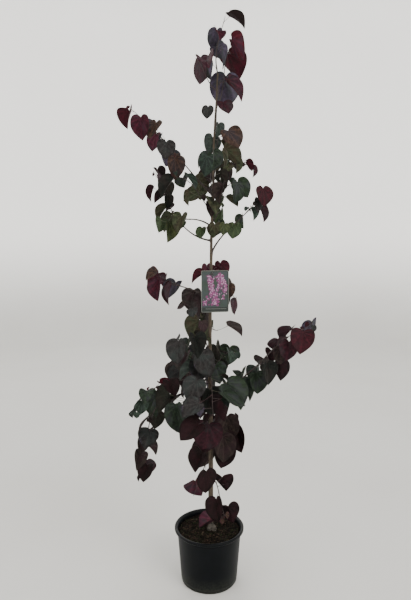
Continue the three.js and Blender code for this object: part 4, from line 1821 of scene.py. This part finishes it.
@dataclass
class Compost:
    """The compost: an uneven top, loose crumbs, bark chips and one dry leaf.

    Its wall draws in by the slope with each millimetre down, and it rises in a mound
    round the trunk. Each row of what is strewn on it has the piece's name, its finish,
    how many lumps lie on a square metre, their smallest and largest scale, their half
    sizes at a scale of one, and the seed of the draws.
    """

    scatter: Scatter
    radius: float = 112.3
    top: float = 184.0
    bottom: float = 4.0
    slope: float = 15.0 / 189.0
    sides: int = 120
    rings: int = 34
    relief: float = 2.6
    mound: float = 3.0
    strewn: tuple[tuple[Any, ...], ...] = (
        ("crumbs", CRUMB, 30000.0, (0.5, 2.1), (1.9, 1.7, 1.4), 17),
        ("moss", MOSS, 7000.0, (0.6, 2.0), (2.4, 2.1, 1.4), 19),
        ("bark_chips", CHIP, 4200.0, (0.7, 1.7), (4.6, 2.0, 0.8), 23),
        ("pale_chips", PALE_CHIP, 600.0, (0.5, 1.2), (4.2, 1.7, 0.7), 29),
    )

    def heights(self, places: Array) -> Array:
        """Gives the height of the top at each place.

        Args:
            places: The places.

        Returns:
            The heights.
        """
        level = places[:, :2]
        away = np.linalg.norm(level - trunk_centre(self.top)[:2], axis=1)
        mound = self.mound * np.exp(-((away / 32) ** 2))
        rough = ripple(level, 46, 5) + 0.8 * ripple(level, 17, 6) + 0.7 * ripple(level, 7, 7)
        return self.top - 1.5 + mound + self.relief * rough * 0.7

    def build(self) -> None:
        """Makes the compost and what lies loose on it."""
        spokes = circle(self.sides)
        shares = np.linspace(1, 1 / self.rings, self.rings)
        top = shares[:, None, None] * self.radius * spokes
        top[:, :, 2] = self.heights(top.reshape(-1, 3)).reshape(top.shape[:2])
        low = np.linspace(self.bottom, self.top - 8, 3)
        wall = [spokes * (self.radius - (self.top - z) * self.slope) + UP * z for z in low]
        middle = self.heights(np.zeros((1, 3))) * UP
        stock = Stock()
        stock.add(*shell(np.concatenate([wall, top]), UP * self.bottom, middle))
        declare(stock.piece("compost", PEAT), "soil", "soil")
        points, (ground, _) = shell(top, middle, middle)
        self.strew(points[:-2], ground)
        self.dry_leaf()

    def strew(self, points: Array, faces: Array) -> None:
        """Strews small lumps over the top.

        Args:
            points: The top's corners.
            faces: The top's faces.
        """
        away = np.linalg.norm(points[:, :2], axis=1)
        for name, finish, density, (smallest, largest), size, seed in self.strewn:
            keep = away < self.radius - size[0] * 1.6
            host = shown(formed(name, points, [faces[keep[faces].all(axis=1)]]))
            shapes = [lump(f"{name}_{i}", size, 0.3, seed + i) for i in range(3)]
            dealt = {"Density": density, "Smallest": smallest, "Largest": largest, "Seed": seed}
            self.scatter.run(Way.OVER, host, shapes, Material=finish, Tilt=0.45, **dealt)
            declare(host, "soil")

    def dry_leaf(self) -> None:
        """Stands a bleached fallen leaf against the foot of the trunk."""
        joint = np.array([9.0, -18.0, 0.0])
        joint[2] = self.heights(joint[None])[0] + 6.0
        across, front = np.array([1.0, 0.0, 0.0]), np.array([0.0, -1.0, 0.0])
        leaf = Leaf(0, joint, joint, across, tilted(front, 70), 34, 0.3, 0.1, Tone.BRONZE)
        blades = [Blade(2, 6, 2, 0.05).build("blade_dry")]
        piece = self.scatter.unfold("dry_leaf", [(leaf, Age.GROWN)], blades, [DRY_LEAF] * 3)
        declare(piece, "soil")


# ---- the label


@dataclass
class Label:
    """The picture label that hangs from the trunk, with a generic blossom pattern.

    The card hangs at its reach in front of the trunk's centre, turned by some degrees, and
    its side edges bow back. The hole is counted from its lower left corner, the print
    leaves a margin, and the pattern starts over a plain dark band. The strap has a gap of
    the slack to what it passes, and its lock has a depth, a width and a height. Each ink
    of the blossoms comes with its piece, the seed of its places, its smallest and largest
    scale, and how far it stands out of the card.
    """

    scatter: Scatter
    width: float = 95.0
    height: float = 143.0
    thickness: float = 0.9
    corner: float = 4.0
    bottom: float = 980.0
    reach: float = 18.0
    turn: float = 8.0
    hole: tuple[float, float] = (36.0, 132.0)
    hole_radius: float = 5.0
    margin: float = 1.6
    band: float = 17.0
    bow: float = 2.4
    film: float = 0.08
    strap: float = 0.8
    slack: float = 0.5
    lock: tuple[float, float, float] = (3.5, 13.0, 5.0)
    petal: float = 5.2
    cluster: float = 4.6
    inks: tuple[tuple[Any, ...], ...] = (
        ("label_blossoms", PETAL_INK, 17, (0.5, 1.1), 0.35),
        ("label_pale_blossoms", PALE_INK, 31, (0.22, 0.55), 0.5),
    )

    def axes(self) -> tuple[Array, Array]:
        """Gives the card's direction to its right, and the one that it faces."""
        cos, sin = math.cos(math.radians(self.turn)), math.sin(math.radians(self.turn))
        return np.array([cos, sin, 0.0]), np.array([sin, -cos, 0.0])

    def hung(self, flat: Object, *nodes: str) -> None:
        """Args:
            flat: Its object: across from the card's left edge, up from its lower edge,
                and out of its printed face.
            nodes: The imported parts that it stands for.
        """
        points = corners(flat.data)
        right, front = self.axes()
        across = points[:, 0] - self.hole[0]
        back = self.bow * (across / (self.width - self.hole[0])) ** 2
        out = self.reach + self.thickness + points[:, 2] - back
        base = trunk_centre(self.bottom + self.hole[1]) - UP * self.hole[1]
        points = base + np.outer(across, right) + np.outer(out, front) + np.outer(points[:, 1], UP)
        flat.data.vertices.foreach_set("co", (points * MM).astype(np.float32).ravel())
        flat.data.update()
        declare(flat, "label", *nodes)

    def build(self) -> None:
        """Makes the card, its print and its tie."""
        edge, side, top = self.margin, self.width - self.margin, self.height - self.margin
        board = self.sheet("label_board", (0, 0), (self.width, self.height), 0.0, CARD_BOARD)
        self.hung(board, "label_card")
        self.hung(self.sheet("label_border", (edge, edge), (side, top), 0.1, CARD_BORDER))
        high = (side - 3.0, top - 3.0)
        self.hung(self.sheet("label_ground", (edge, self.band), high, 0.2, CARD_GROUND))
        lines = self.twig_lines()
        stock = Stock()
        for line in lines:
            points, faces = tube(line, np.linspace(1.1, 0.5, len(line)), 6)
            points[:, 2] = 0.25 + (points[:, 2] - 0.25) * 0.2
            stock.add(points, faces)
        self.hung(stock.piece("label_twigs", TWIG_INK))
        self.blossoms(lines)
        self.hung(self.sheet("label_rule", (14, 11.2), (side - 6, 12.4), 0.2, CARD_BOARD))
        self.tie()

    def sheet(
        self, name: str, low: Sequence[float], high: Sequence[float], out: float, finish: Finish
    ) -> Object:
        """Makes a thin flat sheet with rounded corners and the card's hole.

        Args:
            name: Its name.
            low: Its lower left corner.
            high: Its upper right corner.
            out: How far its face stands out of the card's.
            finish: What it is made of.

        Returns:
            The object, whose mesh is closed.
        """
        columns, rows = 24, 36
        across = np.linspace(low[0], high[0], columns + 1)
        upward = np.linspace(low[1], high[1], rows + 1)
        x, y = (grid.ravel() for grid in np.meshgrid(across, upward))
        # corners are rounded by drawing the outermost places in towards the round
        corner = min(self.corner, (high[1] - low[1]) / 2)
        for cx, sx in ((low[0] + corner, -1), (high[0] - corner, 1)):
            for cy, sy in ((low[1] + corner, -1), (high[1] - corner, 1)):
                dx, dy = (x - cx) * sx, (y - cy) * sy
                is_out = (dx > 0) & (dy > 0)
                square = np.maximum(dx, dy) / np.maximum(np.hypot(dx, dy), 1e-9)
                x = np.where(is_out, cx + sx * dx * square, x)
                y = np.where(is_out, cy + sy * dy * square, y)
        count, step = len(x), columns + 1
        front = np.stack([x, y, np.full(count, out)], axis=-1)
        back = front - UP * (self.film if out else self.thickness)
        cell = (np.arange(rows)[:, None] * step + np.arange(columns)).ravel()
        quads = np.stack([cell, cell + 1, cell + step + 1, cell + step], axis=-1)
        right, left = np.arange(rows) * step + columns, np.arange(rows, 0, -1) * step
        upper = rows * step + np.arange(columns, 0, -1)
        border = np.concatenate([np.arange(columns), right, upper, left])
        after = np.roll(border, -1)
        rim = np.stack([after, border, border + count, after + count], axis=-1)
        faces = [quads, quads[:, ::-1] + count, rim]
        sheet = shown(formed(name, np.concatenate([front, back]), faces))
        self.punch(sheet)
        sheet.data.materials.clear()
        sheet.data.materials.append(finish.material())
        return sheet

    def punch(self, sheet: Object) -> None:
        """Cuts the hole that the tie passes through.

        Args:
            sheet: What is cut.
        """
        form = bmesh.new()
        round_sizes = dict.fromkeys(("radius1", "radius2"), self.hole_radius * MM)
        bmesh.ops.create_cone(form, cap_ends=True, segments=28, depth=8 * MM, **round_sizes)
        mesh = bpy.data.meshes.new("punch")
        form.to_mesh(mesh)
        form.free()
        mesh.transform(Matrix.Translation((self.hole[0] * MM, self.hole[1] * MM, 0)))
        tool = shown(bpy.data.objects.new("punch", mesh))
        cut = sheet.modifiers.new("hole", "BOOLEAN")
        cut.operation, cut.object, cut.solver = "DIFFERENCE", tool, "EXACT"
        settled(sheet)
        bpy.data.objects.remove(tool)

    def twig_lines(self) -> list[Array]:
        """Gives the pattern's arching twigs, as lines on the flat card.

        Returns:
            The points of each line.
        """
        draws = np.random.default_rng(4)
        low, high = self.band + 5, self.height - 12
        lines = []
        for share in np.linspace(0, 1, 5):
            foot = (8 + share * (self.width - 40), low)
            bend = (foot[0] + 14 + draws.uniform(-6, 6), (low + high) / 2 + draws.uniform(-9, 9))
            tip = (foot[0] + 12 + draws.uniform(-9, 9), high - draws.uniform(0, 20))
            line = smooth_line([foot, bend, tip], 14)
            lines.append(np.column_stack([line, np.full(len(line), 0.25)]))
        return lines

    def blossoms(self, lines: Sequence[Array]) -> None:
        """Sets five-petalled blossoms in clusters along the pattern's twigs.

        Args:
            lines: The twigs.
        """
        # one blossom is a closed sheet, cut to five round petals
        petals = np.abs(np.sin(2.5 * 2 * math.pi * np.arange(60) / 60)) ** 0.6
        ring = circle(60) * self.petal * (0.55 + 0.45 * petals)[:, None]
        deep = UP * 0.12
        for name, ink, seed, scale, height in self.inks:
            draws = np.random.default_rng(seed)
            places, turns, sizes = [], [], []
            for number, line in enumerate(lines):
                for x, y, _ in line[2::2]:
                    crowd = 0.5 + 0.5 * math.sin(y * 0.07 + number * 2.1)
                    for _ in range(round(5 * crowd)):
                        spot = np.array([x, y]) + draws.normal(0, self.cluster, 2)
                        if self.is_free(spot):
                            places.append((*spot, height))
                            turns.append((0.0, 0.0, draws.uniform(0, 6.3)))
                            sizes.append(draws.uniform(*scale))
            blossom = formed("blossom", *shell(np.stack([ring, ring + deep]), 0 * UP, deep))
            host = marked_points(name, np.array(places) * MM, turn=turns, size=sizes)
            self.hung(self.scatter.run(Way.ON, host, [blossom], Material=ink))

    def is_free(self, spot: Array) -> bool:
        """Tells whether a blossom fits at a place: off the band, the edges and the hole.

        Args:
            spot: Its place on the card.

        Returns:
            True where it fits.
        """
        reach = self.petal + 0.3
        low = np.array([self.margin, self.band]) + reach
        high = np.array([self.width, self.height]) - self.margin - reach
        is_off = np.linalg.norm(spot - self.hole) > self.hole_radius + reach
        return bool(is_off and (spot > low).all() and (spot < high).all())

    def tie(self) -> None:
        """Makes the strap round the trunk, through the card's hole, and its lock."""
        height = self.bottom + self.hole[1]
        centre = trunk_centre(height)
        side, front = self.axes()
        wide = trunk_radius(height) + self.strap + self.slack
        narrow = self.strap + self.slack
        end = self.reach + self.thickness + self.slack + self.lock[0] / 2
        behind = np.radians(np.linspace(100, 260, 25))
        through = np.radians(np.linspace(-90, 90, 13))
        outs = [*wide * np.cos(behind), *(end - narrow + narrow * np.cos(through))]
        asides = [*wide * np.sin(behind), *narrow * np.sin(through)]
        loop = centre + np.outer(outs, front) + np.outer(asides, side)
        stock = Stock()
        stock.add(*closed_loop(loop, self.strap, 10))
        points, faces = rounded_block(self.lock, 0.8)
        stock.add(centre + front * end + points @ np.stack([front, side, UP]), faces)
        declare(stock.piece("label_strap", TIE_NYLON), "tie", "label_tie")


def closed_loop(line: Array, radius: float, sides: int) -> Shape:
    """Makes a level loop of round section through some places.

    Args:
        line: The places.
        radius: The section's radius.
        sides: How many corners the section has.

    Returns:
        The corners and the faces.
    """
    along = unit(np.roll(line, -1, axis=0) - np.roll(line, 1, axis=0))
    across = unit(np.cross(along, UP))
    cos, sin, _ = circle(sides).T[:, None, :, None]
    rings = line[:, None] + radius * (cos * across[:, None] + sin * UP)
    _, (walls, _) = shell(np.concatenate([rings, rings[:1]]), UP, UP)
    return rings.reshape(-1, 3), [walls[:, [1, 0, 3, 2]] % (len(line) * sides)]


def rounded_block(size: Sequence[float], edge: float) -> Shape:
    """Makes a block with rounded edges about the origin.

    Args:
        size: Its sides.
        edge: The radius of its edges.

    Returns:
        The corners and the faces.
    """
    form = bmesh.new()
    bmesh.ops.create_cube(form, size=1.0, matrix=Matrix.Diagonal((*size, 1.0)))
    bmesh.ops.bevel(form, geom=form.edges[:], offset=edge, segments=3, affect="EDGES", profile=0.6)
    bmesh.ops.triangulate(form, faces=form.faces[:])
    form.verts.index_update()
    points = np.array([vert.co[:] for vert in form.verts])
    faces = np.array([[vert.index for vert in face.verts] for face in form.faces])
    form.free()
    # the bevel deals its corners out in any order, so they are sorted
    order = np.lexsort(points.round(4).T)
    faces = np.array([np.roll(face, -face.argmin()) for face in np.argsort(order)[faces]])
    return points[order], [faces[np.lexsort(faces.T)]]


# ---- the studio


@dataclass
class Studio:
    """The pale room, its soft light and the camera.

    The camera looks down by the dip, in degrees, through a lens for a sensor 36 mm wide.
    A cove joins the floor to the wall. Each lamp has its name, its place in metres, the
    side of its square in metres and its power in watts.
    """

    camera_m: tuple[float, float, float] = (-0.0133, -1.791, 1.209)
    dip: float = 6.01
    lens: float = 31.2
    radius_m: float = 6.0
    wall_m: float = 9.0
    cove_m: float = 1.5
    facets: int = 96
    aim_m: float = 1.0
    lamps: tuple[tuple[str, tuple[float, float, float], float, float], ...] = (
        ("key", (2.4, -2.8, 3.6), 2.4, 130),
        ("fill", (-3.0, -1.8, 2.8), 2.6, 40),
        ("back", (-0.8, 3.2, 3.8), 2.6, 80),
    )

    def build(self) -> None:
        """Makes the camera, the room and the lights."""
        data = bpy.data.cameras.new("camera")
        data.sensor_width, data.lens = 36.0, self.lens
        camera = shown(bpy.data.objects.new("camera", data))
        camera.location = self.camera_m
        camera.rotation_euler = (math.radians(90 - self.dip), 0, 0)
        bpy.context.scene.camera = camera
        self.make_room()
        for name, place, size, power in self.lamps:
            lamp_data = bpy.data.lights.new(name, "AREA")
            lamp_data.size, lamp_data.energy = size, power
            lamp_data.color = linear("#fffaf4")[:3]
            lamp = shown(bpy.data.objects.new(name, lamp_data))
            lamp.location = place
            aim = Vector((0, 0, self.aim_m)) - Vector(place)
            lamp.rotation_euler = aim.to_track_quat("-Z", "Y").to_euler()
        world = bpy.data.worlds.new("soft sky")
        world.use_nodes = True
        background = world.node_tree.nodes["Background"]
        background.inputs["Color"].default_value = linear("#f2f4f6")
        background.inputs["Strength"].default_value = 0.6
        bpy.context.scene.world = world

    def make_room(self) -> None:
        """Makes the floor, which curves up into a round wall."""
        turns = np.radians(np.linspace(0, 90, 13))
        out, up = self.radius_m - self.cove_m, self.cove_m
        bend = zip(out + up * np.sin(turns), up - up * np.cos(turns))
        profile = [(0, 0), (0.3, 0), (1.5, 0), *bend, (self.radius_m, self.wall_m), (0, 0)]
        points, (walls, caps) = turned_shell(np.array(profile), self.facets)
        stock = Stock()
        stock.add(points[:-1], [caps[: self.facets, ::-1], walls[:, ::-1]])
        mesh = stock.mesh("studio_floor", 1.0)
        finish = StudioPaint("studio paint, matt", "#cfcfcc", "#cccbc8", 0.9, spot=900, shine=0.2)
        mesh.materials.append(finish.material())
        shown(bpy.data.objects.new("studio_floor", mesh))


def main() -> None:
    """Builds the dressed plant in order, and reports each piece."""
    logging.basicConfig(level=logging.INFO, format="%(name)s: %(message)s")
    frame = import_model()
    Studio().build()
    scatter = Scatter()
    Pot().build()
    Compost(scatter).build()
    Bark(scatter).build()
    Foliage(scatter).build(frame)
    Label(scatter).build()


if __name__ == "__main__":
    main()
